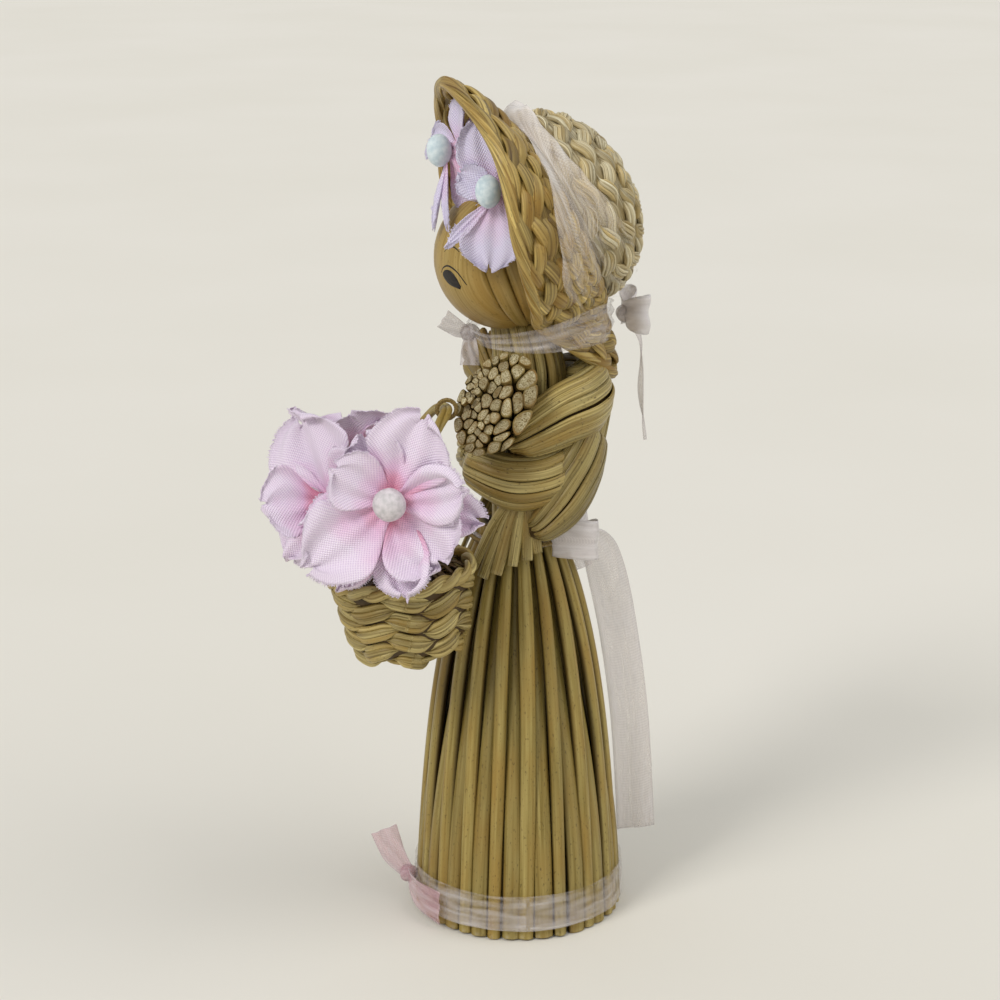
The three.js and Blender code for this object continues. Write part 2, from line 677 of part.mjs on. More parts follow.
// Hem ribbon with its knot and two ends at the front.
const hemTop = HEM_RIBBON_HEIGHT + HEM_RIBBON_WIDTH;
const hemMiddle = (HEM_RIBBON_HEIGHT + hemTop) / 2;
const hemSurface = skirtRadius(hemMiddle) + GAP + RIBBON_THICKNESS;
const hemKnot = vec(0, -hemSurface - KNOT_RADIUS / 2, hemMiddle);
const hemRaisedEnd = ribbonTail(
  [hemKnot, vec(-0.5, hemKnot.y - 2.6, hemTop + 0.4), vec(-1, hemKnot.y - 4.4, hemTop + 5)],
  [2.4, 4, 4.6],
  LEFT,
  5,
);
const besideHem = (reach, drop) =>
  vec(reach, -Math.sqrt((hemSurface + 3 * RIBBON_THICKNESS) ** 2 - reach ** 2), hemMiddle - drop);
const hemLyingEnd = ribbonTail(
  [
    hemKnot,
    besideHem(HEM_END_REACH / 2, 1),
    besideHem(HEM_END_REACH, 1.6),
  ],
  [2.4, 3.6, 4.2],
  vec(0.25, -1, 0),
  5,
);
const hemRibbon = joined(
  skirtBand(HEM_RIBBON_HEIGHT, hemTop),
  ball(KNOT_RADIUS, hemKnot, 10),
  hemRaisedEnd,
  hemLyingEnd,
);
place(doll, "hem_ribbon", hemRibbon, MATERIALS.ribbon);

// Waist ribbon with a bow at the back, and its long end, which hangs beside the skirt.
const waistBandLow = WAIST_HEIGHT - WAIST_RIBBON_DROP;
const waistBandMiddle = waistBandLow + GATHERED_WIDTH / 2;
const waistSurface = skirtRadius(waistBandMiddle) + GAP + RIBBON_THICKNESS;
const waistKnot = vec(0, waistSurface + KNOT_RADIUS * 0.6, waistBandMiddle);
const waistLoopReach = vec(0.85, 0.52, 0.06).normalize();
const waistLoop = ribbonLoop(waistKnot, waistLoopReach, UP, WAIST_LOOP_LENGTH, RIBBON_WIDTH);
const waistShortEnd = ribbonTail(
  [waistKnot, vec(2.4, waistKnot.y + 1, waistBandMiddle - 3), vec(3, waistKnot.y + 2, waistBandMiddle - 6)],
  [1.6, 2.2, 2.6],
  LEFT,
  5,
);
const waistRibbon = joined(
  skirtBand(waistBandLow, waistBandLow + GATHERED_WIDTH),
  ball(KNOT_RADIUS, waistKnot, 10),
  waistLoop,
  mirrored(waistLoop),
  waistShortEnd,
);
place(doll, "waist_ribbon", waistRibbon, MATERIALS.ribbon);

const tailHeight = (share) => lerp(WAIST_TAIL_END, waistBandMiddle, share);
const tailBack = (height) => skirtRadius(height) + GAP + RIBBON_WIDTH / 2;
const waistTail = ribbonTail(
  [
    vec(0, waistKnot.y + KNOT_RADIUS + GAP, waistBandMiddle + 0.6),
    vec(-0.1, waistKnot.y + 4.4, waistBandMiddle + 1),
    vec(-0.3, waistKnot.y + 6.2, waistBandMiddle - 4),
    vec(-1.2, tailBack(tailHeight(0.7)) + 0.5, tailHeight(0.7)),
    vec(-0.6, tailBack(tailHeight(0.4)) + 0.2, tailHeight(0.4)),
    vec(-1.2, tailBack(WAIST_TAIL_END), WAIST_TAIL_END),
  ],
  [2.4, 5.6, RIBBON_WIDTH, RIBBON_WIDTH, RIBBON_WIDTH, RIBBON_WIDTH],
  LEFT,
  14,
);
place(doll, "waist_ribbon_tail", waistTail, MATERIALS.ribbon);

// Head ball under three leaves that run from crown to chin.
const headBallRadius = HEAD_RADIUS - LEAF_THICKNESS - GAP;
place(head, "head_ball", ball(headBallRadius, headCentre, 22), MATERIALS.rush);

// A leaf on the head between two angles from the face's middle, positive to the doll's left. The leaves meet
// at the nape rather than under the chin.
function headLeaf(from, to) {
  const columns = Math.ceil(Math.abs(to - from) / 12);
  const onHead = (radius, longitude, latitude) => vec(
    radius * Math.cos(rad(latitude)) * Math.sin(rad(longitude)),
    -radius * Math.cos(rad(latitude)) * Math.cos(rad(longitude)),
    radius * Math.sin(rad(latitude)),
  ).applyAxisAngle(LEFT, rad(LEAF_TILT)).add(headCentre);
  const rings = [];
  for (let row = 0; row <= 8; row += 1) {
    const latitude = lerp(-LEAF_LATITUDE, LEAF_LATITUDE, row / 8);
    const edge = (radius) => Array.from({ length: columns + 1 }, (_, i) =>
      onHead(radius, lerp(from, to, i / columns), latitude));
    rings.push([...edge(HEAD_RADIUS), ...edge(HEAD_RADIUS - LEAF_THICKNESS).reverse()]);
  }
  return skin(rings);
}

const leafSeam = THREE.MathUtils.radToDeg(3 * GAP / HEAD_RADIUS);
const sideLeafStart = FACE_LEAF_HALF_ANGLE + leafSeam;
place(head, "face_leaf", headLeaf(-FACE_LEAF_HALF_ANGLE, FACE_LEAF_HALF_ANGLE), MATERIALS.leaf);
place(head, "cheek_leaf_left", headLeaf(sideLeafStart, sideLeafStart + SIDE_LEAF_ANGLE), MATERIALS.leaf);
place(head, "cheek_leaf_right", headLeaf(-sideLeafStart - SIDE_LEAF_ANGLE, -sideLeafStart), MATERIALS.leaf);

// Bonnet frame: +Z runs back along the crown's axis, -Y is the top and +X the doll's left.
const bonnet = new THREE.Group();
bonnet.position.copy(headCentre).add(vec(0, CROWN_SETBACK, CROWN_RISE));
bonnet.rotation.x = rad(CROWN_PITCH - 90);
bonnet.updateMatrix();
head.add(bonnet);
const toBonnet = (point) => point.clone().applyMatrix4(bonnet.matrix.clone().invert());
const fromBonnet = (point) => point.clone().applyMatrix4(bonnet.matrix);

// Points [radius, depth] of a dome between two depths.
function domeOutline(radius, depth, from, to, count) {
  const start = Math.asin(Math.min(1, from / depth));
  const end = Math.asin(Math.min(1, to / depth));
  return Array.from({ length: count + 1 }, (_, i) => {
    const turn = lerp(start, end, i / count);
    const share = Math.cos(turn);
    return [share < 1e-9 ? 0 : radius * share, depth * Math.sin(turn)];
  });
}

const rowSteps = 2 * CROWN_ROWS;
const grooveDepth = CROWN_DEPTH - ROW_GROOVE;
const rowRidges = domeOutline(CROWN_RADIUS, CROWN_DEPTH, 0, CROWN_DEPTH, rowSteps);
const rowGrooves = domeOutline(CROWN_RADIUS - ROW_GROOVE, grooveDepth, 0, grooveDepth, rowSteps);
const inGroove = (step) => step % 2 === 0 && step > 0 && step < rowSteps;
const crownOuter = rowRidges.map((ridge, step) => (inGroove(step) ? rowGrooves[step] : ridge));
const crownInnerDepth = CROWN_DEPTH - CROWN_WALL;
const crownInner = domeOutline(CROWN_RADIUS - CROWN_WALL, crownInnerDepth, 0, crownInnerDepth, 5);
place(bonnet, "bonnet_crown", turned([...crownInner.reverse(), ...crownOuter]), MATERIALS.straw);

// Wadding that fills the crown and seats the back of the head.
const waddingRadius = CROWN_RADIUS - CROWN_WALL - GAP;
const waddingDepth = crownInnerDepth - GAP;
const waddingDome = domeOutline(waddingRadius, waddingDepth, GAP, waddingDepth, 5);
const wadding = trimmed(
  turned([[0, GAP], ...waddingDome]),
  ball(HEAD_RADIUS + GAP, toBonnet(headCentre)),
);
place(bonnet, "crown_wadding", wadding, MATERIALS.rush);

// Brim: from a ring in front of the crown out to its free edge.
const brimRoot = CROWN_RADIUS - CROWN_WALL / 2;
const brimEdgePoint = ({ angle, radius, reach }) =>
  vec(radius * Math.sin(rad(angle)), -radius * Math.cos(rad(angle)), -reach);
const brimRight = BRIM_EDGE.slice(1, -1).reverse().map(({ angle, radius, reach }) =>
  ({ angle: -angle, radius, reach }));
const brimEdgeCurve = through([...BRIM_EDGE, ...brimRight].map(brimEdgePoint), true);

function brimShape() {
  const steps = 40;
  const rings = [];
  for (let i = 0; i < steps; i += 1) {
    const edge = brimEdgeCurve.getPoint(i / steps);
    const radial = vec(edge.x, edge.y, 0).normalize();
    const root = radial.clone().multiplyScalar(brimRoot).setZ(-GAP - BRIM_THICKNESS / 2);
    const run = edge.clone().sub(root).normalize();
    const flow = vec(-radial.y, radial.x, 0);
    const thick = run.clone().cross(flow).normalize().multiplyScalar(BRIM_THICKNESS / 2);
    const plaits = (side) => BRIM_PLAITS.map(({ way, share }) =>
      root.clone().lerp(edge, way).addScaledVector(thick, side * share));
    rings.push([
      root.clone().add(thick).setZ(-GAP),
      ...plaits(1),
      edge.clone().addScaledVector(thick, BRIM_ROLL),
      edge.clone().addScaledVector(run, BRIM_THICKNESS / 3),
      edge.clone().addScaledVector(thick, -BRIM_ROLL),
      ...plaits(-1).reverse(),
      root.clone().sub(thick),
      root.clone().addScaledVector(run, -BRIM_THICKNESS / 4),
    ]);
  }
  return skin(rings, true);
}

const crownSide = [[0, -GAP], [2 * CROWN_RADIUS, -GAP], [2 * CROWN_RADIUS, 1], [0, 1]];
place(bonnet, "bonnet_brim", trimmed(brimShape(), turned(crownSide)), MATERIALS.straw);

// Sheer band round the foot of the crown.
const bandInner = domeOutline(CROWN_RADIUS + GAP, CROWN_DEPTH + GAP, GAP, BAND_WIDTH, 3);
const bandOuter = domeOutline(
  CROWN_RADIUS + GAP + RIBBON_THICKNESS,
  CROWN_DEPTH + GAP + RIBBON_THICKNESS,
  GAP,
  BAND_WIDTH,
  3,
);
const bandOutline = [...bandInner, ...bandOuter.reverse(), bandInner[0]];
place(bonnet, "crown_band", turned(bandOutline), MATERIALS.ribbon);

// Chin ribbon: under the chin, over the drawn-in brim and round to the nape.
const napeRoot = fromBonnet(vec(0, brimRoot, 0));
const napeBack = vec(0, napeRoot.y + BRIM_THICKNESS + 0.9, napeRoot.z - 3.4);
const cheekEdge = fromBonnet(brimEdgePoint(BRIM_EDGE[4]));
const chinHeight = headCentre.z - HEAD_RADIUS - 1.6;
const chinFront = vec(0, -HEAD_FORWARD - 6.6, chinHeight);
const chinRound = [
  chinFront,
  vec(cheekEdge.x * 0.62, chinFront.y + 2, chinHeight - 0.1),
  vec(cheekEdge.x + BRIM_THICKNESS + 1, cheekEdge.y + 0.4, chinHeight + 1.3),
  vec(cheekEdge.x + BRIM_THICKNESS, cheekEdge.y + 10.6, napeBack.z - 1),
];
const chinRoundRight = chinRound.slice(1).reverse().map((p) => vec(-p.x, p.y, p.z));
const chinLoop = sweep({
  curve: through([...chinRound, napeBack, ...chinRoundRight], true),
  steps: 32,
  width: (t) => lerp(0.8, 2.6, Math.sin(Math.PI * t) ** 2),
  thickness: () => RIBBON_THICKNESS / 2,
  facing: (t, centre) => vec(centre.x, centre.y - CHEST_SETBACK - 2, 0),
  shape: FLAT,
  loop: true,
});
const chinEnd = (left, forward, up) =>
  chinFront.clone().addScaledVector(vec(left, -forward, up), CHIN_TAIL_LENGTH);
const chinEndWidths = [KNOT_RADIUS, 0.4 * RIBBON_WIDTH, 0.48 * RIBBON_WIDTH];
const chinForwardEnd = ribbonTail(
  [chinFront, chinEnd(0.2, 0.44, 0.2), chinEnd(0.28, 1, 0.6)],
  chinEndWidths,
  LEFT,
  4,
);
const chinDroppedEnd = ribbonTail(
  [chinFront, chinEnd(0.48, 0.12, -0.4), chinEnd(0.6, 0.16, -1)],
  chinEndWidths,
  vec(1, -0.4, 0),
  4,
);
const chinRibbon = joined(chinLoop, ball(KNOT_RADIUS, chinFront, 10), chinForwardEnd, chinDroppedEnd);
place(head, "chin_ribbon", chinRibbon, MATERIALS.ribbon);

// Nape bow with two loops and a thin twisted end.
const napeCentre = napeBack.clone().setY(napeBack.y + RIBBON_THICKNESS + GAP + KNOT_RADIUS);
const napeLoop = ribbonLoop(napeCentre, vec(0.9, 0.42, 0.1).normalize(), UP, NAPE_LOOP_LENGTH, RIBBON_WIDTH);
const napeTail = ribbonTail(
  [
    napeCentre,
    napeCentre.clone().add(vec(0.6, 2.6, -5)),
    napeCentre.clone().add(vec(0.8, 2.8, -NAPE_TAIL_LENGTH * 0.6)),
    napeCentre.clone().add(vec(0.2, 4, -NAPE_TAIL_LENGTH)),
  ],
  [NAPE_TAIL_WIDTH, NAPE_TAIL_WIDTH, NAPE_TAIL_WIDTH, NAPE_TAIL_WIDTH / 2],
  LEFT,
  8,
);
place(head, "nape_bow", joined(ball(KNOT_RADIUS, napeCentre, 10), napeLoop, mirrored(napeLoop), napeTail),
  MATERIALS.ribbon);

// A cupped blossom of cloth with rounded petals, facing +Z. The cup's middle is at 0.
function blossomCup(radius, extra = 0) {
  const points = PETAL_COUNT * 6;
  const lobe = (angle) => 1 - PETAL_NOTCH * (1 - Math.abs(Math.sin((PETAL_COUNT * angle) / 2)));
  const ring = (share, side) => Array.from({ length: points }, (_, i) => {
    const angle = (2 * Math.PI * (i + 0.5)) / points;
    const reach = radius * share * lerp(1, lobe(angle), share) + extra * share;
    const lift = radius * PETAL_CUP * share ** 2;
    return vec(reach * Math.cos(angle), reach * Math.sin(angle), lift + side * (PETAL_THICKNESS / 2 + extra));
  });
  const shares = [0.12, 0.55, 1];
  return skin([...shares.map((s) => ring(s, 1)), ...shares.map((s) => ring(s, -1)).reverse()]);
}

// A stalk from a blossom's middle back along its axis and on to its foot.
function blossomStalk(pose, foot, extra = 0) {
  const start = vec(0, 0, 0).applyMatrix4(pose);
  const bend = vec(0, 0, -0.4 * start.distanceTo(foot)).applyMatrix4(pose);
  return sweep({
    curve: new THREE.QuadraticBezierCurve3(start, bend, foot),
    steps: 5,
    width: () => STALK_RADIUS + extra,
    thickness: () => STALK_RADIUS + extra,
    facing: (t, centre, tangent) => tangent.clone().cross(vec(0.3, 0.2, 1)),
    shape: polygon(6),
  });
}

function blossomShape(radius, pose, foot, extra = 0) {
  return joined(blossomCup(radius, extra).applyMatrix4(pose), blossomStalk(pose, foot, extra));
}

// A blossom and its pip at a place in a group, facing a direction.
function blossomPose(centre, facing, spin) {
  const turn = new THREE.Quaternion().setFromUnitVectors(UP, facing.clone().normalize());
  turn.multiply(new THREE.Quaternion().setFromAxisAngle(UP, rad(spin)));
  return new THREE.Matrix4().compose(centre, turn, vec(1, 1, 1));
}

function pipShape(pose, radius) {
  const pip = ball(radius, vec(0, 0, PETAL_THICKNESS / 2 + GAP + radius), 12);
  return pip.applyMatrix4(pose);
}

// Bonnet blossoms: one looks forward under the brim's top, one looks out over the left temple.
const hatFrontPose = blossomPose(vec(-2, -7.8, 16.6).add(headCentre), vec(0.12, -0.95, 0.28), 20);
const hatSidePose = blossomPose(vec(11.4, -6.3, 10.9).add(headCentre), vec(0.86, -0.48, 0.16), 50);
const headSeat = (direction) => direction.normalize().multiplyScalar(HEAD_RADIUS + 2 * GAP).add(headCentre);
const hatFrontFoot = headSeat(vec(-0.12, -0.1, 1));
const hatSideFoot = headSeat(vec(0.62, -0.28, 0.72));
const headClearance = ball(HEAD_RADIUS + GAP, headCentre);
const hatFront = blossomShape(HAT_BLOSSOM_RADIUS, hatFrontPose, hatFrontFoot);
const hatFrontClearance = blossomShape(HAT_BLOSSOM_RADIUS, hatFrontPose, hatFrontFoot, GAP);
const hatFrontPip = pipShape(hatFrontPose, PIP_RADIUS * 0.9);
const hatFrontPipClearance = pipShape(hatFrontPose, PIP_RADIUS * 0.9 + GAP);
const hatSide = trimmed(
  blossomShape(HAT_BLOSSOM_RADIUS * 0.9, hatSidePose, hatSideFoot),
  hatFrontClearance,
  hatFrontPipClearance,
  headClearance,
);
place(head, "bonnet_blossom_front", trimmed(hatFront, headClearance), MATERIALS.petal);
place(head, "bonnet_blossom_side", hatSide, MATERIALS.petal);
place(head, "bonnet_pip_front", hatFrontPip, MATERIALS.pip);
place(head, "bonnet_pip_side", pipShape(hatSidePose, PIP_RADIUS * 0.8), MATERIALS.pip);

// Basket bowl, open at the top.
const basketProfile = [
  [0, 0],
  [BASKET_FOOT_RADIUS, 0],
  [BASKET_FOOT_RADIUS + BASKET_WALL, BASKET_WALL],
  [BASKET_RIM_RADIUS, BASKET_HEIGHT],
  [BASKET_RIM_RADIUS - BASKET_WALL, BASKET_HEIGHT],
  [BASKET_FOOT_RADIUS, BASKET_WALL],
  [0, BASKET_WALL],
];
place(basket, "basket_bowl", turned(basketProfile), MATERIALS.straw);

// Filler that holds the flower stalks.
const fillerRim = BASKET_RIM_RADIUS - BASKET_WALL - 2 * GAP;
const fillerTop = domeOutline(fillerRim, FILLER_CROWN, 0, FILLER_CROWN, 4)
  .map(([r, z]) => [r, z + BASKET_HEIGHT]);
const fillerFoot = BASKET_WALL + GAP;
const filler = turned([[0, fillerFoot], [BASKET_FOOT_RADIUS - 2 * GAP, fillerFoot], ...fillerTop]);
place(basket, "basket_filler", filler, MATERIALS.rush);

// Hoop handle: from rim to rim over the flowers, leaning back to the tie on the arm.
const hoopTop = handleTop.clone().applyMatrix4(basket.matrixWorld.clone().invert());
const hoopFootRadius = BASKET_RIM_RADIUS - BASKET_WALL / 2;
const hoopFoot = BASKET_HEIGHT + GAP;

function hoopShape(extra) {
  const leg = (side) => [
    vec(side * hoopFootRadius, 0, hoopFoot),
    vec(side * hoopFootRadius * 0.99, hoopTop.y * 0.1, lerp(hoopFoot, hoopTop.z, 0.35)),
    vec(side * hoopFootRadius * 0.86, hoopTop.y * 0.42, lerp(hoopFoot, hoopTop.z, 0.7)),
    vec(side * hoopFootRadius * 0.5, hoopTop.y * 0.8, lerp(hoopFoot, hoopTop.z, 0.94)),
  ];
  return sweep({
    curve: through([...leg(-1), hoopTop, ...leg(1).reverse()]),
    steps: 24,
    width: () => HANDLE_DIAMETER / 2 + extra,
    thickness: () => HANDLE_DIAMETER / 2 + extra,
    facing: () => vec(0, -1, 0),
    shape: polygon(8),
  });
}

place(basket, "basket_handle", hoopShape(0), MATERIALS.rush);

// Three blossoms over the basket's rim, each cut back from the ones before it and from the handle.
const BASKET_BLOSSOMS = [
  { name: "left", at: vec(12.6, -0.6, 15.4), facing: vec(0.95, -0.2, 0.12), foot: vec(4, 0, 0), scale: 1 },
  { name: "front", at: vec(0, -11, 13), facing: vec(0.42, -0.86, 0.28), foot: vec(0, -4, 0), scale: 0.95 },
  { name: "top", at: vec(-4.6, -4.4, 18.8), facing: vec(-0.4, 0.1, 0.9), foot: vec(-3, 2, 0), scale: 0.82 },
];
const clearances = [hoopShape(GAP)];
BASKET_BLOSSOMS.forEach(({ name, at, facing, foot, scale }, i) => {
  const pose = blossomPose(at.clone().setZ(at.z + BASKET_HEIGHT), facing, 25 * i);
  const radius = BASKET_BLOSSOM_RADIUS * scale;
  const seat = foot.clone().setZ(BASKET_HEIGHT + FILLER_CROWN + GAP);
  const shape = blossomShape(radius, pose, seat);
  place(basket, `basket_blossom_${name}`, trimmed(shape, ...clearances), MATERIALS.petal);
  place(basket, `basket_pip_${name}`, pipShape(pose, PIP_RADIUS), MATERIALS.pip);
  clearances.push(blossomShape(radius, pose, seat, GAP));
  clearances.push(pipShape(pose, PIP_RADIUS + GAP));
});

export default doll;
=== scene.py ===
"""Dresses the rush doll: stems, plaits, leaves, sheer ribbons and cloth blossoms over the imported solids.

Lengths are millimetres in the doll's own frame (+Z up, the doll faces -Y, its left is +X) and turn into metres
where a mesh is made.
"""
import logging
import math
from collections.abc import Callable, Sequence
from dataclasses import dataclass, field
from enum import Enum
from functools import partial

import bpy
import numpy as np
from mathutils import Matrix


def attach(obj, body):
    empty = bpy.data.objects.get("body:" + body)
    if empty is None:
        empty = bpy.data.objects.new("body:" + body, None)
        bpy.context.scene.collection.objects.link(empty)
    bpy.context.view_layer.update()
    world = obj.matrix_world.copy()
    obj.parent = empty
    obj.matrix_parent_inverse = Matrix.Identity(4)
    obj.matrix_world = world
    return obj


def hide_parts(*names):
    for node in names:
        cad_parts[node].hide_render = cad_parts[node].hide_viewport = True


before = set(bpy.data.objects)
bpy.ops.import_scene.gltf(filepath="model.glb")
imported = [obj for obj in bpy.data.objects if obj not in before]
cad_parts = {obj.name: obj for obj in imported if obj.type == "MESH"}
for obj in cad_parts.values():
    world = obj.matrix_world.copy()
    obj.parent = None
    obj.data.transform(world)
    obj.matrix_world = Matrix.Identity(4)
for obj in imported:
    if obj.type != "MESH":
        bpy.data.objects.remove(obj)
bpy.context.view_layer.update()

LOG = logging.getLogger("rush_doll")
MM = 0.001
UP = np.array([0.0, 0.0, 1.0])
LEVEL = np.array([1, 1, 0])
GRAIN_SPREAD = 200.0
RIBBON_THICKNESS = 0.1
PLAIT_SHARPNESS = 0.96
PETAL_FULLNESS = 0.69
ALL = (1.0, 1.0, 1.0)
SIDES = ((1, "left"), (-1, "right"))
Array = np.ndarray
Rng = np.random.Generator
Material = bpy.types.Material
Socket = bpy.types.NodeSocket
Point = tuple[float, float, float]
Colour = tuple[float, float, float, float]
Bend = tuple[tuple[float, float], ...]
Surface = Callable[[Array, Array, Array], Array]


class Body(Enum):
    """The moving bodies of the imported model."""

    DOLL = "doll"
    BASKET = "basket"


class Slot(Enum):
    """The record's material slots, named with each dressed piece."""

    RUSH = "rush"
    LEAF = "leaf"
    STRAW = "straw"
    RIBBON = "ribbon"
    PETAL = "petal"
    PIP = "pip"


def shade(red: int, green: int, blue: int) -> Colour:
    """Turns a screen colour into the linear one that a shader takes.

    Args:
        red: red, 0 to 255.
        green: green, 0 to 255.
        blue: blue, 0 to 255.

    Returns:
        The linear colour with full alpha.
    """
    linear = [((c / 255 + 0.055) / 1.055) ** 2.4 if c > 10 else c / 255 / 12.92 for c in (red, green, blue)]
    return (linear[0], linear[1], linear[2], 1.0)


def unit(vectors: Array) -> Array:
    """Returns vectors scaled to length 1."""
    return vectors / np.maximum(np.linalg.norm(vectors, axis=-1, keepdims=True), 1e-12)


def smooth(share: Array | float) -> Array:
    """Returns a share from 0 to 1 eased at both ends."""
    held = np.clip(share, 0.0, 1.0)
    return held * held * (3 - 2 * held)


def turn_x(degrees: float) -> Array:
    """Returns the matrix of a turn about X."""
    c, s = math.cos(math.radians(degrees)), math.sin(math.radians(degrees))
    return np.array([[1, 0, 0], [0, c, -s], [0, s, c]])


def turn_z(degrees: float) -> Array:
    """Returns the matrix of a turn about Z."""
    c, s = math.cos(math.radians(degrees)), math.sin(math.radians(degrees))
    return np.array([[c, -s, 0], [s, c, 0], [0, 0, 1]])


def spline(keys: Sequence, count: int, closed: bool = False) -> Array:
    """Samples a smooth curve through keys.

    Args:
        keys: points, or single numbers, in order.
        count: how many samples.
        closed: whether the curve comes back to its first key.

    Returns:
        The samples, evenly spaced from key to key.
    """
    held = np.asarray(keys, dtype=float)
    flat = held.ndim == 1
    held = held[:, None] if flat else held
    if closed:
        padded = np.concatenate([held[-1:], held, held[:2]])
    else:
        padded = np.concatenate([[2 * held[0] - held[1]], held, [2 * held[-1] - held[-2]]])
    spans = len(padded) - 3
    place = np.linspace(0, spans, count, endpoint=not closed)
    first = np.minimum(place.astype(int), spans - 1)
    t = (place - first)[:, None]
    a, b, c, d = (padded[first + i] for i in range(4))
    bent = 0.5 * (2 * b + (c - a) * t + (2 * a - 5 * b + 4 * c - d) * t**2 + (3 * b - a - 3 * c + d) * t**3)
    return bent[:, 0] if flat else bent


def polygon(sides: int) -> Array:
    """Returns the points of a regular polygon of radius 1."""
    angles = np.arange(sides) * 2 * np.pi / sides
    return np.stack([np.cos(angles), np.sin(angles)], axis=1)


def polar(reach: Array | float, angle: Array | float, height: Array | float) -> Array:
    """Returns points at a reach and an angle from the upright axis."""
    reach, angle, height = np.broadcast_arrays(reach, angle, height)
    return np.stack([reach * np.cos(angle), reach * np.sin(angle), height], axis=-1)


def ball(around: Array, up: Array, stretch: float = 1.0) -> Array:
    """Returns a grid over a ball of radius 1, stretched along its own axis."""
    return polar(np.sin(up), around[:, None], stretch * np.cos(up))


def mirror(side: int) -> Array:
    """Returns the scale that keeps the doll's left side (1) or mirrors it to the right (-1)."""
    return np.array([side, 1, 1])


def seeded(seed: int) -> Rng:
    """Returns a field with random numbers of its own, the same in every run."""
    return field(default_factory=partial(np.random.default_rng, seed))


def own_grain(rng: Rng) -> Array:
    """Returns a shift of the grain that no other strip shares."""
    return rng.uniform(-GRAIN_SPREAD, GRAIN_SPREAD, 3)


ROUND = polygon(12)
STRIP = np.array([
    [1.0, -0.2], [0.92, 0.35], [0.62, 0.72], [0.22, 0.86], [-0.22, 0.86], [-0.62, 0.72], [-0.92, 0.35],
    [-1.0, -0.2], [-0.6, -0.6], [0.6, -0.6],
])
STRIP_BOTH = np.array([
    [1.0, 0.0], [0.86, 0.55], [0.5, 0.9], [0.0, 1.0], [-0.5, 0.9], [-0.86, 0.55],
    [-1.0, 0.0], [-0.86, -0.55], [-0.5, -0.9], [0.0, -1.0], [0.5, -0.9], [0.86, -0.55],
])


@dataclass(frozen=True)
class Place:
    """A frame of its own: an origin and a turn in the doll's frame."""

    origin: Array
    turn: Array

    def out(self, points: Array) -> Array:
        """Returns points of this frame in the doll's frame."""
        return np.asarray(points, dtype=float) @ self.turn.T + self.origin

    def aim(self, vectors: Array) -> Array:
        """Returns directions of this frame in the doll's frame."""
        return np.asarray(vectors, dtype=float) @ self.turn.T

    def inner(self, origin: Array, turn: Array) -> "Place":
        """Returns a frame that sits inside this one."""
        return Place(self.out(np.asarray(origin, dtype=float)), self.turn @ turn)


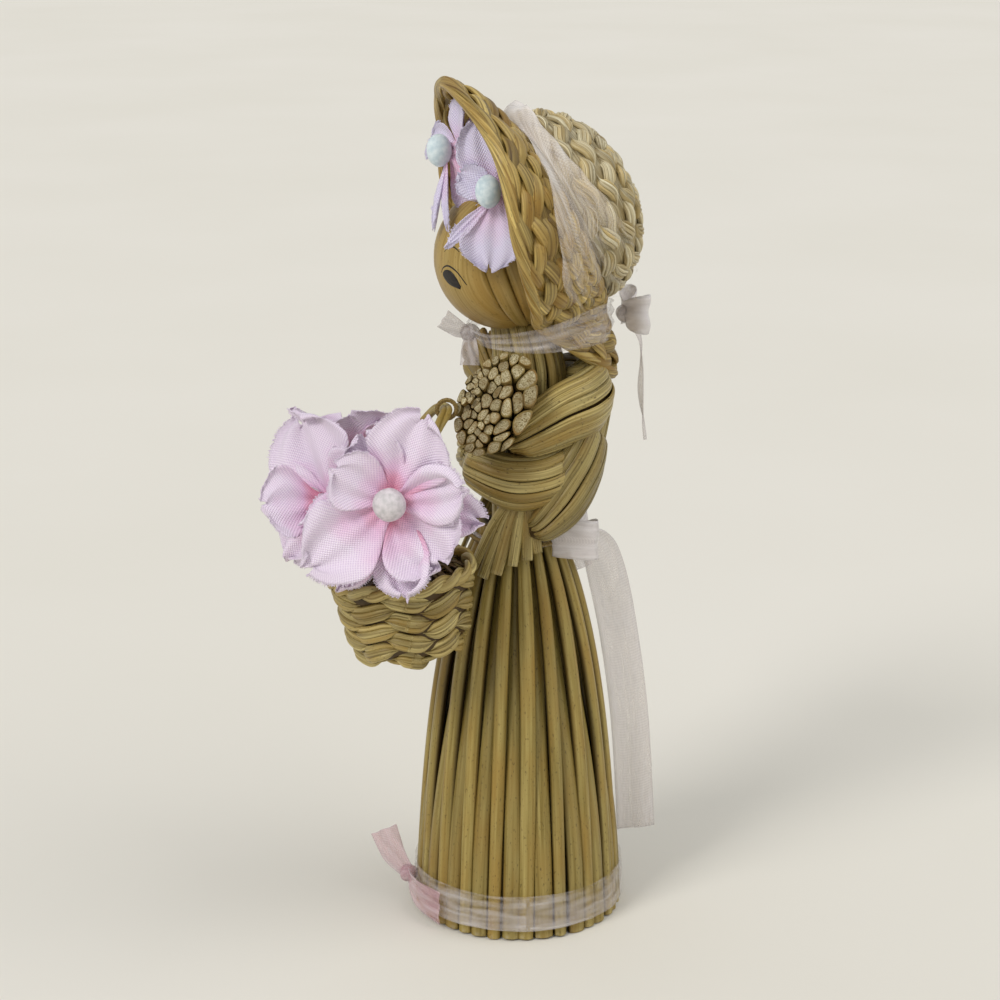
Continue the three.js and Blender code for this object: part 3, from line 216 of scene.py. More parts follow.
@dataclass
class Sheaf:
    """Stems, strips and sheets gathered for one mesh."""

    points: list[Array] = field(default_factory=list)
    grain: list[Array] = field(default_factory=list)
    tone: list[Array] = field(default_factory=list)
    fade: list[Array] = field(default_factory=list)
    faces: list[list[int]] = field(default_factory=list)
    finish: list[int] = field(default_factory=list)
    rounded: list[bool] = field(default_factory=list)
    count: int = 0

    def take(self, points: Array, grain: Array, tone: Array | float, fade: Array) -> int:
        """Adds points.

        Args:
            points: places.
            grain: each point's place along and across its stem or weave.
            tone: the stem's shade, 0 to 1, for each point of its outline or for all: its own random tone, less
                painted shade in creases and under other strands.
            fade: each point's share from the heart to the edge; on sheer ribbon, its painted light and how
                close its threads are.

        Returns:
            The number of the first added point.
        """
        first = self.count
        self.points.append(points.reshape(-1, 3))
        self.grain.append(grain.reshape(-1, 3))
        self.tone.append(np.broadcast_to(tone, points.shape[:-1]).reshape(-1))
        self.fade.append(np.broadcast_to(fade, points.shape[:-1]).reshape(-1))
        self.count += len(self.points[-1])
        return first

    def close(self, faces: Array | list, finish: int, rounded: bool = True) -> None:
        """Adds faces over points that are already in.

        Args:
            faces: rows of point numbers.
            finish: number of their finish.
            rounded: whether they are shaded smooth.
        """
        rows = faces.tolist() if isinstance(faces, Array) else faces
        self.faces.extend(rows)
        self.finish.extend([finish] * len(rows))
        self.rounded.extend([rounded] * len(rows))

    def sweep(
        self, line: Array, out: Array, half_width: Array | float, half_thickness: Array | float,
        profile: Array = ROUND, *, tone: Array | float = 0.5, fade: Array | float = 0.0,
        shift: Array | float = 0.0, closed: bool = False, finish: int = 0, pith: int | None = None,
    ) -> None:
        """Adds a stem or strip along a line.

        Args:
            line: the middle line's points.
            out: where the strip's face looks, for each point or for all.
            half_width: half the width across, for each point or for all.
            half_thickness: half the thickness along out.
            profile: the cross-section's points, across and out, for a radius of 1.
            tone: the strip's shade, for each point of the profile or for all: its own random tone, less painted
                shade in creases and under other strands.
            fade: share from the heart to the edge, for each point or for all.
            shift: moves the grain, so that no two strips are alike.
            closed: whether the line is a loop.
            finish: number of the strip's finish.
            pith: number of the cut end's finish, where the far end shows a cut.
        """
        n, m = len(line), len(profile)
        if closed:
            tangent = unit(np.roll(line, -1, 0) - np.roll(line, 1, 0))
        else:
            tangent = unit(np.gradient(line, axis=0))
        facing = np.broadcast_to(out, line.shape)
        facing = unit(facing - np.sum(facing * tangent, 1, keepdims=True) * tangent)
        across = np.cross(tangent, facing)
        width = np.broadcast_to(half_width, n)[:, None] * profile[:, 0]
        depth = np.broadcast_to(half_thickness, n)[:, None] * profile[:, 1]
        rings = line[:, None] + across[:, None] * width[..., None] + facing[:, None] * depth[..., None]
        steps = np.linalg.norm(np.diff(line, axis=0), axis=1)
        length = np.concatenate([[0], np.cumsum(steps)])
        grain = np.stack([width, depth, np.repeat(length[:, None], m, 1)], axis=2) + shift
        ring_fade = np.repeat(np.broadcast_to(fade, n)[:, None], m, 1)
        first = self.take(rings, grain, tone, ring_fade)
        i = np.arange(n if closed else n - 1)[:, None]
        j = np.arange(m)[None, :]
        after, beside = (i + 1) % n, (j + 1) % m
        quads = np.stack([i * m + j, after * m + j, after * m + beside, i * m + beside], axis=2)
        self.close(first + quads.reshape(-1, 4), finish)
        if closed:
            return
        self.close([[first + k for k in range(m)]], finish, False)
        last = first + (n - 1) * m
        if pith is None:
            self.close([[last + k for k in reversed(range(m))]], finish, False)
            return
        middle = rings[-1].mean(0)
        inner = self.take(middle + 0.84 * (rings[-1] - middle), grain[-1], tone, ring_fade[-1])
        rim = [[last + k, inner + k, inner + (k + 1) % m, last + (k + 1) % m] for k in range(m)]
        self.close([list(reversed(face)) for face in rim], finish, False)
        self.close([[inner + k for k in reversed(range(m))]], pith, False)

    def sheet(
        self, grid: Array, thickness: float, *, tone: float = 0.5, fade: Array | float = 0.0,
        shift: Array | float = 0.0, wrap: bool = False, finish: int = 0,
    ) -> None:
        """Adds a thin closed sheet over a grid of points.

        Args:
            grid: rows of points.
            thickness: thickness of the cloth or leaf.
            tone: the sheet's shade: its own tone, lowered as painted shade on dark linings.
            fade: share from the heart to the edge; on sheer ribbon, its painted light and how close its threads
                are.
            shift: moves the weave.
            wrap: whether the last row joins the first.
            finish: number of the finish.
        """
        rows, cols = grid.shape[:2]
        if wrap:
            down = np.roll(grid, -1, 0) - np.roll(grid, 1, 0)
        else:
            down = np.gradient(grid, axis=0)
        normal = unit(np.cross(down, np.gradient(grid, axis=1)))
        steps = [np.linalg.norm(np.diff(grid, axis=axis), axis=2) for axis in (0, 1)]
        along, over = (np.insert(np.cumsum(step, axis), 0, 0.0, axis) for axis, step in enumerate(steps))
        grain = np.stack([over - over.mean(1, keepdims=True), np.zeros((rows, cols)), along], axis=2) + shift
        first = self.take(grid + normal * thickness / 2, grain, tone, np.broadcast_to(fade, (rows, cols)))
        under = self.take(grid - normal * thickness / 2, grain, tone, np.broadcast_to(fade, (rows, cols)))
        i = np.arange(rows if wrap else rows - 1)[:, None]
        j = np.arange(cols - 1)[None, :]
        after = (i + 1) % rows
        near, far = i * cols + j, after * cols + j
        quads = np.stack([near, far, far + 1, near + 1], 2).reshape(-1, 4)
        self.close(first + quads, finish)
        self.close(under + quads[:, ::-1], finish)
        i, after, end = i[:, 0], after[:, 0], cols - 1
        sides = [
            np.stack([first + after * cols, first + i * cols, under + i * cols, under + after * cols], 1),
            np.stack([first + i * cols, first + after * cols, under + after * cols, under + i * cols], 1) + end,
        ]
        if not wrap:
            j, foot = j[0], (rows - 1) * cols
            sides.append(np.stack([first + j, first + j + 1, under + j + 1, under + j], 1))
            sides.append(np.stack([first + j + 1, first + j, under + j, under + j + 1], 1) + foot)
        for side in sides:
            self.close(side, finish)

    def piece(
        self, name: str, finishes: Sequence[Material], slot: Slot, *nodes: str, body: Body = Body.DOLL
    ) -> bpy.types.Object:
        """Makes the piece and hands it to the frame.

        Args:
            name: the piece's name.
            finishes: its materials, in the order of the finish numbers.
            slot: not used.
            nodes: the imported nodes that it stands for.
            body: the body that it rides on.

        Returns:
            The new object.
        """
        mesh = bpy.data.meshes.new(name)
        mesh.from_pydata((np.concatenate(self.points) * MM).tolist(), [], self.faces)
        mesh.polygons.foreach_set("material_index", self.finish)
        mesh.polygons.foreach_set("use_smooth", self.rounded)
        mesh.attributes.new("grain", "FLOAT_VECTOR", "POINT").data.foreach_set(
            "vector", np.concatenate(self.grain).astype(np.float32).ravel())
        for label, rows in (("tone", self.tone), ("fade", self.fade)):
            mesh.attributes.new(label, "FLOAT", "POINT").data.foreach_set(
                "value", np.concatenate(rows).astype(np.float32))
        for finish in finishes:
            mesh.materials.append(finish)
        mesh.update()
        made = bpy.data.objects.new(name, mesh)
        bpy.context.scene.collection.objects.link(made)
        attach(made, body.value)
        if nodes:
            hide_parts(*nodes)
        LOG.info("%s rides on %s for %s", name, body.value, ", ".join(nodes) or "itself")
        return made


class Desk:
    """Lays out the nodes of one material."""

    def __init__(self, name: str) -> None:
        """Starts a material with its shader.

        Args:
            name: the material's name.
        """
        self.material = bpy.data.materials.new(name)
        self.material.use_nodes = True
        self.nodes = self.material.node_tree.nodes
        self.links = self.material.node_tree.links
        self.shader = self.nodes["Principled BSDF"]

    def put(self, socket: Socket, value: object) -> None:
        """Feeds a socket.

        Args:
            socket: the input.
            value: the output to link to it, or its plain value.
        """
        if isinstance(value, Socket):
            self.links.new(value, socket)
        else:
            socket.default_value = value

    def node(self, kind: str, **values: object) -> bpy.types.ShaderNode:
        """Adds a node.

        Args:
            kind: its kind, in the tool's own words.
            values: what its inputs take, by their names with _ for a space.

        Returns:
            The node.
        """
        made = self.nodes.new(f"ShaderNode{kind}")
        for name, value in values.items():
            self.put(made.inputs[name.replace("_", " ")], value)
        return made

    def read(self, name: str, output: str = "Fac") -> Socket:
        """Reads one of the mesh's own attributes.

        Args:
            name: the attribute.
            output: which of the node's outputs.

        Returns:
            That output.
        """
        node = self.node("Attribute")
        node.attribute_name = name
        return node.outputs[output]

    def noise(self, place: Socket, scale: Point, detail: float = 3.0) -> Socket:
        """Adds cloudy noise.

        Args:
            place: where on the piece.
            scale: clouds per unit of place along each axis.
            detail: how many finer layers it has.

        Returns:
            The noise, about 0.3 to 0.7.
        """
        spread = self.node("Mapping", Vector=place, Scale=scale).outputs["Vector"]
        return self.node("TexNoise", Vector=spread, Scale=1.0, Detail=detail).outputs["Fac"]

    def ramp(self, value: Socket, *stops: tuple[float, Colour]) -> Socket:
        """Turns a value into a colour.

        Args:
            value: the value, 0 to 1.
            stops: places and their colours, in order.

        Returns:
            The colour.
        """
        node = self.node("ValToRGB", Fac=value)
        held = node.color_ramp.elements
        while len(held) < len(stops):
            held.new(0.5)
        for element, (place, colour) in zip(held, stops):
            element.position = place
            element.color = colour
        return node.outputs["Color"]

    def darken(self, colour: Socket, value: Socket, *stops: tuple[float, Point]) -> Socket:
        """Returns a colour darkened by a value, by stops of what is left of red, green and blue."""
        colours = [(place, (*left, 1.0)) for place, left in stops]
        return self.blend(1.0, colour, self.ramp(value, *colours), "MULTIPLY")

    def level(self, value: Socket, low: float, high: float, start: float = 0.0, end: float = 1.0) -> Socket:
        """Stretches a value to another range.

        Args:
            value: the value.
            low: the value that becomes start.
            high: the value that becomes end.
            start: first result.
            end: last result.

        Returns:
            The result, held between start and end.
        """
        node = self.node("MapRange", Value=value, From_Min=low, From_Max=high, To_Min=start, To_Max=end)
        return node.outputs["Result"]

    def blend(self, share: object, first: object, second: object, mode: str = "MIX") -> Socket:
        """Mixes two colours.

        Args:
            share: share of the second.
            first: the colour under it.
            second: the colour over it.
            mode: the mix node's own name for the way.

        Returns:
            The mixed colour.
        """
        node = self.node("Mix")
        node.data_type = "RGBA"
        node.blend_type = mode
        for number, value in ((0, share), (6, first), (7, second)):
            self.put(node.inputs[number], value)
        return node.outputs[2]

    def math(self, operation: str, first: object, second: object = 0.0) -> Socket:
        """Works out a sum.

        Args:
            operation: the math node's own name for it.
            first: first value.
            second: second value.

        Returns:
            The result.
        """
        node = self.node("Math")
        node.operation = operation
        self.put(node.inputs[0], first)
        self.put(node.inputs[1], second)
        return node.outputs[0]

    def weave(self, place: Socket, pitch: float) -> Socket:
        """Adds a plain weave.

        Args:
            place: where on the cloth, in millimetres.
            pitch: millimetres from thread to thread.

        Returns:
            The weave's height, from -1 to 1.
        """
        parts = self.node("SeparateXYZ", Vector=place)
        turns = [self.math("MULTIPLY", parts.outputs[axis], math.pi / pitch) for axis in ("X", "Z")]
        return self.math("MULTIPLY", *(self.math("SINE", turn) for turn in turns))

    def relief(self, height: Socket, strength: float, depth: float) -> None:
        """Raises the surface.

        Args:
            height: the height.
            strength: share of it that shows.
            depth: millimetres from low to high.
        """
        node = self.node("Bump", Height=height, Strength=strength, Distance=depth * MM)
        self.put(self.shader.inputs["Normal"], node.outputs["Normal"])

    def thin(self, colour: Socket, through: float, cover: object = 1.0) -> Material:
        """Makes the surface thin cloth.

        Args:
            colour: colour of the light that comes through to the far side.
            through: share of that light.
            cover: share of the surface that the threads cover.

        Returns:
            The material.
        """
        glow = self.node("BsdfTranslucent", Color=colour)
        bare = self.node("BsdfTransparent")
        cloth = self.join(through, self.shader.outputs[0], glow.outputs[0])
        veil = self.join(cover, bare.outputs[0], cloth)
        self.put(self.nodes["Material Output"].inputs["Surface"], veil)
        return self.material

    def join(self, share: object, first: Socket, second: Socket) -> Socket:
        """Mixes two shaders.

        Args:
            share: share of the second.
            first: one shader.
            second: the other.

        Returns:
            The mixed shader.
        """
        node = self.node("MixShader")
        for number, value in enumerate((share, first, second)):
            self.put(node.inputs[number], value)
        return node.outputs[0]

    def set(self, **values: object) -> Material:
        """Sets the shader's sockets.

        Args:
            values: what each socket takes, by its name with _ for a space.

        Returns:
            The material.
        """
        for name, value in values.items():
            self.put(self.shader.inputs[name.replace("_", " ")], value)
        return self.material


@dataclass(frozen=True)
class RushFinish:
    """Dried rush: lengthwise streaks, dark specks and a slow drift from olive to amber."""

    name: str
    dark: Colour
    light: Colour
    amber: Colour
    streaks: float = 2.2
    specks: float = 0.55
    roughness: float = 0.5
    ridge: float = 0.12

    def material(self) -> Material:
        """Lays out the finish.

        Returns:
            Its material.
        """
        desk = Desk(self.name)
        grain = desk.read("grain", "Vector")
        streak = desk.noise(grain, (self.streaks, self.streaks, 0.06), 4.0)
        drift = desk.noise(grain, (0.25, 0.25, 0.07), 2.0)
        speck = desk.noise(grain, (3.4, 3.4, 1.5), 2.0)
        body = desk.blend(desk.level(streak, 0.3, 0.72), self.dark, self.light)
        body = desk.blend(desk.level(drift, 0.42, 0.7, 0.0, 0.8), body, self.amber)
        # Tone darkens the rush, down to near black: each strip's own random tone, and painted shade in creases,
        # on tucked legs, under other strands and on linings.
        tone = desk.level(desk.read("tone"), -1.0, 1.0)
        body = desk.darken(body, tone, (0.0, (0.07, 0.055, 0.04)), (0.5, (0.52, 0.5, 0.46)), (1.0, ALL))
        dots = desk.level(speck, 0.63, 0.7, 0.0, self.specks)
        body = desk.blend(dots, body, shade(62, 44, 20))
        desk.relief(desk.math("ADD", streak, desk.math("MULTIPLY", speck, 0.3)), 0.6, self.ridge)
        return desk.set(Base_Color=body, Roughness=self.roughness, Specular_IOR_Level=0.35)


@dataclass(frozen=True)
class PithFinish:
    """Cut rush ends: pale spongy pith with small pores."""

    name: str = "cut_pith"

    def material(self) -> Material:
        """Lays out the finish.

        Returns:
            Its material.
        """
        desk = Desk(self.name)
        grain = desk.read("grain", "Vector")
        pores = desk.noise(grain, (4.2, 4.2, 4.2), 3.0)
        darken = desk.noise(grain, (0.5, 0.5, 0.5), 2.0)
        body = desk.ramp(
            pores, (0.36, shade(126, 108, 70)), (0.5, shade(194, 182, 142)), (0.7, shade(226, 216, 184)))
        body = desk.blend(desk.level(darken, 0.46, 0.68, 0.0, 0.65), body, shade(150, 122, 72))
        body = desk.darken(body, desk.read("tone"), (0.0, (0.5, 0.47, 0.42)), (1.0, ALL))
        desk.relief(pores, 0.8, 0.15)
        return desk.set(Base_Color=body, Roughness=0.85, Specular_IOR_Level=0.2)


@dataclass(frozen=True)
class PetalFinish:
    """Woven satin: a plain weave, deep pink in the heart and pale lilac at the edge."""

    name: str
    heart: Colour
    middle: Colour
    edge: Colour
    pitch: float = 0.27

    def material(self) -> Material:
        """Lays out the finish.

        Returns:
            Its material.
        """
        desk = Desk(self.name)
        grain = desk.read("grain", "Vector")
        weave = desk.weave(grain, self.pitch)
        cloud = desk.noise(grain, (0.16, 0.16, 0.16), 2.0)
        reach = desk.math("ADD", desk.read("fade"), desk.level(cloud, 0.3, 0.7, -0.16, 0.16))
        body = desk.ramp(reach, (0.04, self.heart), (0.3, self.middle), (0.64, self.edge))
        # Painted shade in the weave's hollows, where threads dip under each other.
        body = desk.darken(body, desk.level(weave, -0.85, 0.2), (0.0, (0.78, 0.7, 0.81)), (1.0, ALL))
        desk.relief(weave, 0.7, 0.09)
        desk.set(Base_Color=body, Roughness=0.3, Specular_IOR_Level=0.6, Sheen_Weight=0.4, Sheen_Roughness=0.35)
        return desk.thin(body, 0.06)


@dataclass(frozen=True)
class OrganzaFinish:
    """Sheer ribbon: fine threads that let the piece under them through, painted whiter where its fade is high.
    """

    name: str
    thread: Colour
    cast: Colour
    cover: float = 0.42
    pitch: float = 0.26

    def material(self) -> Material:
        """Lays out the finish.

        Returns:
            Its material.
        """
        desk = Desk(self.name)
        grain = desk.read("grain", "Vector")
        weave = desk.weave(grain, self.pitch)
        fold = desk.noise(grain, (0.9, 0.9, 0.12), 3.0)
        lit = desk.read("fade")
        body = desk.blend(desk.level(fold, 0.35, 0.7), self.cast, self.thread)
        # Painted light: where the fade is high the ribbon is painted near white as a highlight, and its threads
        # cover more there.
        body = desk.blend(desk.math("MULTIPLY", lit, 0.7), body, shade(255, 252, 250))
        # Painted shade in the weave's hollows, where threads dip under each other.
        body = desk.darken(body, desk.level(weave, -1.0, 1.0), (0.0, (0.92, 0.9, 0.92)), (1.0, ALL))
        veil = desk.math("ADD", desk.level(fold, 0.3, 0.7, -0.12, 0.16), desk.math("MULTIPLY", weave, 0.07))
        veil = desk.math("ADD", veil, desk.math("MULTIPLY", lit, 0.34))
        desk.relief(desk.math("ADD", fold, desk.math("MULTIPLY", weave, 0.1)), 0.6, 0.25)
        desk.set(Base_Color=body, Roughness=0.26, Specular_IOR_Level=0.7, Sheen_Weight=0.4, Sheen_Roughness=0.3)
        return desk.thin(body, 0.1, desk.math("ADD", veil, self.cover))


@dataclass(frozen=True)
class SpeckledFinish:
    """Painted foam, card, thread or paint: one colour with grain of another."""

    name: str
    low: Colour
    high: Colour
    grains: float
    roughness: float = 0.6
    depth: float = 0.05

    def material(self) -> Material:
        """Lays out the finish by the object's own coordinates.

        Returns:
            Its material.
        """
        desk = Desk(self.name)
        place = desk.node("TexCoord").outputs["Object"]
        per_metre = self.grains / MM
        grain = desk.noise(place, (per_metre, per_metre, per_metre), 3.0)
        desk.relief(grain, 0.4, self.depth)
        return desk.set(
            Base_Color=desk.ramp(grain, (0.35, self.low), (0.65, self.high)), Roughness=self.roughness,
            Specular_IOR_Level=0.35)


Finish = RushFinish | PithFinish | PetalFinish | OrganzaFinish | SpeckledFinish


def mixed(finish: Finish) -> Material:
    """Returns a palette's field, whose finish is laid out when the palette is made."""
    return field(default_factory=finish.material)


@dataclass
class Palette:
    """All finishes of the doll, each made once."""

    skirt: Material = mixed(RushFinish(
        "skirt_rush", shade(132, 112, 49), shade(180, 161, 96), shade(156, 125, 56),
        streaks=1.7, roughness=0.42))
    bodice: Material = mixed(RushFinish(
        "bodice_rush", shade(108, 90, 36), shade(214, 196, 130), shade(156, 126, 57),
        streaks=4.2, specks=0.65, roughness=0.36, ridge=0.18))
    # Painted shade: dark rush for the bodice cores seen between strips, the bowl's lining and the grass in the
    # bowl.
    under: Material = mixed(RushFinish("shaded_rush", shade(66, 48, 20), shade(96, 74, 34), shade(84, 58, 24)))
    bark: Material = mixed(RushFinish(
        "stem_bark", shade(122, 100, 48), shade(170, 150, 88), shade(144, 108, 48)))
    pith: Material = mixed(PithFinish())
    leaf: Material = mixed(RushFinish(
        "head_leaf", shade(144, 118, 56), shade(184, 158, 94), shade(164, 130, 62),
        streaks=2.6, specks=0.35, roughness=0.42, ridge=0.06))
    straw: Material = mixed(RushFinish(
        "plait_straw", shade(80, 58, 18), shade(232, 204, 124), shade(150, 112, 38),
        streaks=2.8, specks=0.4, roughness=0.42))
    bowl: Material = mixed(RushFinish(
        "bowl_straw", shade(108, 88, 38), shade(220, 202, 136), shade(158, 128, 57),
        streaks=3.0, specks=0.5, roughness=0.42))
    pale_straw: Material = mixed(RushFinish(
        "crown_straw", shade(128, 104, 54), shade(255, 247, 212), shade(206, 180, 116),
        streaks=3.4, specks=0.35, roughness=0.42))
    organza: Material = mixed(OrganzaFinish("sheer_ribbon", shade(240, 236, 234), shade(222, 212, 206)))
    veil: Material = mixed(OrganzaFinish("bonnet_veil", shade(255, 250, 240), shade(246, 228, 202), 0.16, 0.34))
    blush: Material = mixed(OrganzaFinish("blush_ribbon", shade(232, 216, 218), shade(222, 176, 184)))
    petal: Material = mixed(PetalFinish(
        "basket_petal", shade(242, 158, 184), shade(251, 212, 240), shade(254, 240, 255)))
    hat_petal: Material = mixed(PetalFinish(
        "bonnet_petal", shade(248, 206, 230), shade(248, 226, 250), shade(240, 234, 255)))
    pip: Material = mixed(SpeckledFinish("green_pip", shade(194, 190, 190), shade(220, 213, 215), 1.2, 0.5))
    egg: Material = mixed(SpeckledFinish("blue_pip", shade(198, 216, 222), shade(226, 238, 240), 1.0, 0.45))
    paint: Material = mixed(SpeckledFinish("eye_paint", shade(20, 18, 16), shade(44, 38, 32), 3.0, 0.5, 0.02))
    thread: Material = mixed(SpeckledFinish(
        "binding_thread", shade(104, 84, 40), shade(150, 126, 74), 4.0, 0.8))
    card: Material = mixed(SpeckledFinish("foot_card", shade(150, 130, 92), shade(182, 162, 120), 1.5, 0.9))
    wadding: Material = mixed(SpeckledFinish("wadding", shade(112, 90, 50), shade(158, 134, 82), 1.8, 0.9, 0.3))


@dataclass
class Skirt:
    """Bell of folded rush stems: one leg of each runs outside to the waist, the other dives under it."""

    hem_radius: float = 19.0
    lower_radius: float = 17.6
    lower_height: float = 28.0
    hip_radius: float = 15.5
    hip_height: float = 56.0
    waist_radius: float = 7.4
    waist_height: float = 71.0
    stem_count: int = 19
    stem_width: float = 2.66
    stem_depth: float = 2.2
    tuck: float = 2.8
    sway_radius: float = 17.0
    inner_width: float = 1.24
    # Painted shade on the legs that dive under the others.
    tucked_shade: float = 0.2
    narrowing: float = 0.26
    # Painted shade in the creases between stems.
    crease_shade: float = 1.9
    leg_points: int = 46
    rng: Rng = seeded(5)

    def radius(self, height: Array | float) -> Array:
        """Finds the bell's outer radius.

        Args:
            height: height over the floor.

        Returns:
            The radius there.
        """
        t = np.linspace(0, 1, 240)
        share = [(1 - t) ** 3, 3 * t * (1 - t) ** 2, 3 * t**2 * (1 - t), t**3]
        radii = (self.hem_radius, self.lower_radius, self.hip_radius, self.waist_radius)
        heights = (0.0, self.lower_height, self.hip_height, self.waist_height)
        up, out = (sum(s * value for s, value in zip(share, values)) for values in (heights, radii))
        return np.interp(height, up, out)

    def leg(self, sheaf: Sheaf, number: int) -> None:
        """Adds one leg of a stem.

        Args:
            sheaf: takes its mesh.
            number: the leg's number round the hem. Odd ones dive under the even ones.
        """
        rng, inner = self.rng, number % 2 == 1
        top = self.waist_height + (0.5 if inner else 1.6)
        height = np.linspace(rng.uniform(0.0, 0.4), top, self.leg_points)
        rise = height / self.waist_height
        width = self.stem_width * rng.uniform(0.92, 1.08) * (self.inner_width if inner else 1.0)
        depth = self.stem_depth * rng.uniform(0.92, 1.05)
        reach = self.radius(height) - depth / 2 - rng.uniform(0.0, 0.25)
        if inner:
            reach = reach - self.tuck * smooth((rise - 0.12) / 0.75)
        sway = rng.uniform(-0.5, 0.5) * np.sin(np.pi * rise * rng.uniform(0.8, 1.6) + rng.uniform(0, 6))
        sway += rng.uniform(-0.35, 0.35)
        angle = 2 * np.pi * number / (2 * self.stem_count) + sway / self.sway_radius
        line = polar(reach, angle, height)
        out = polar(1.0, angle, 0.0)
        top_share = (height - self.hip_height) / (self.waist_height - self.hip_height)
        narrow = 1 - self.narrowing * smooth(top_share)
        spin = rng.uniform(0, 6, 2)
        turn = np.arctan2(ROUND[:, 1], ROUND[:, 0])
        lumps = 1 + 0.05 * np.cos(2 * turn + spin[0]) + 0.035 * np.cos(3 * turn + spin[1])
        # Painted shade: the back and sides of each stem darken as the creases between stems, and legs that dive
        # under are darker still.
        crease_shade = self.crease_shade * smooth((0.62 - ROUND[:, 1]) / 0.8)
        sheaf.sweep(
            line[::-1], out[::-1], (width / 2 * narrow)[::-1], depth / 2, ROUND * lumps[:, None],
            tone=rng.uniform(0.66, 1.06) - (self.tucked_shade if inner else 0.0) - crease_shade,
            shift=own_grain(rng), pith=1)

    def build(self, palette: Palette) -> None:
        """Makes one piece for each folded stem.

        Args:
            palette: the finishes.
        """
        for i in range(self.stem_count):
            sheaf = Sheaf()
            self.leg(sheaf, 2 * i)
            self.leg(sheaf, 2 * i + 1)
            number = f"{i + 1:02d}"
            sheaf.piece(f"stem_{number}", [palette.skirt, palette.pith], Slot.RUSH, f"skirt_stem_{number}")


@dataclass(frozen=True)
class Key:
    """A place on a bodice strand: angle round the chest, height over the waist, half width and swell."""

    angle: float
    height: float
    half_width: float
    swell: float


@dataclass(frozen=True)
class Strand:
    """One strand: its route, its strips, how far under its neighbours it lies and how far round they go."""

    name: str
    keys: tuple[Key, ...]
    strips: int
    drop: float = 0.0
    span: float = 100.0


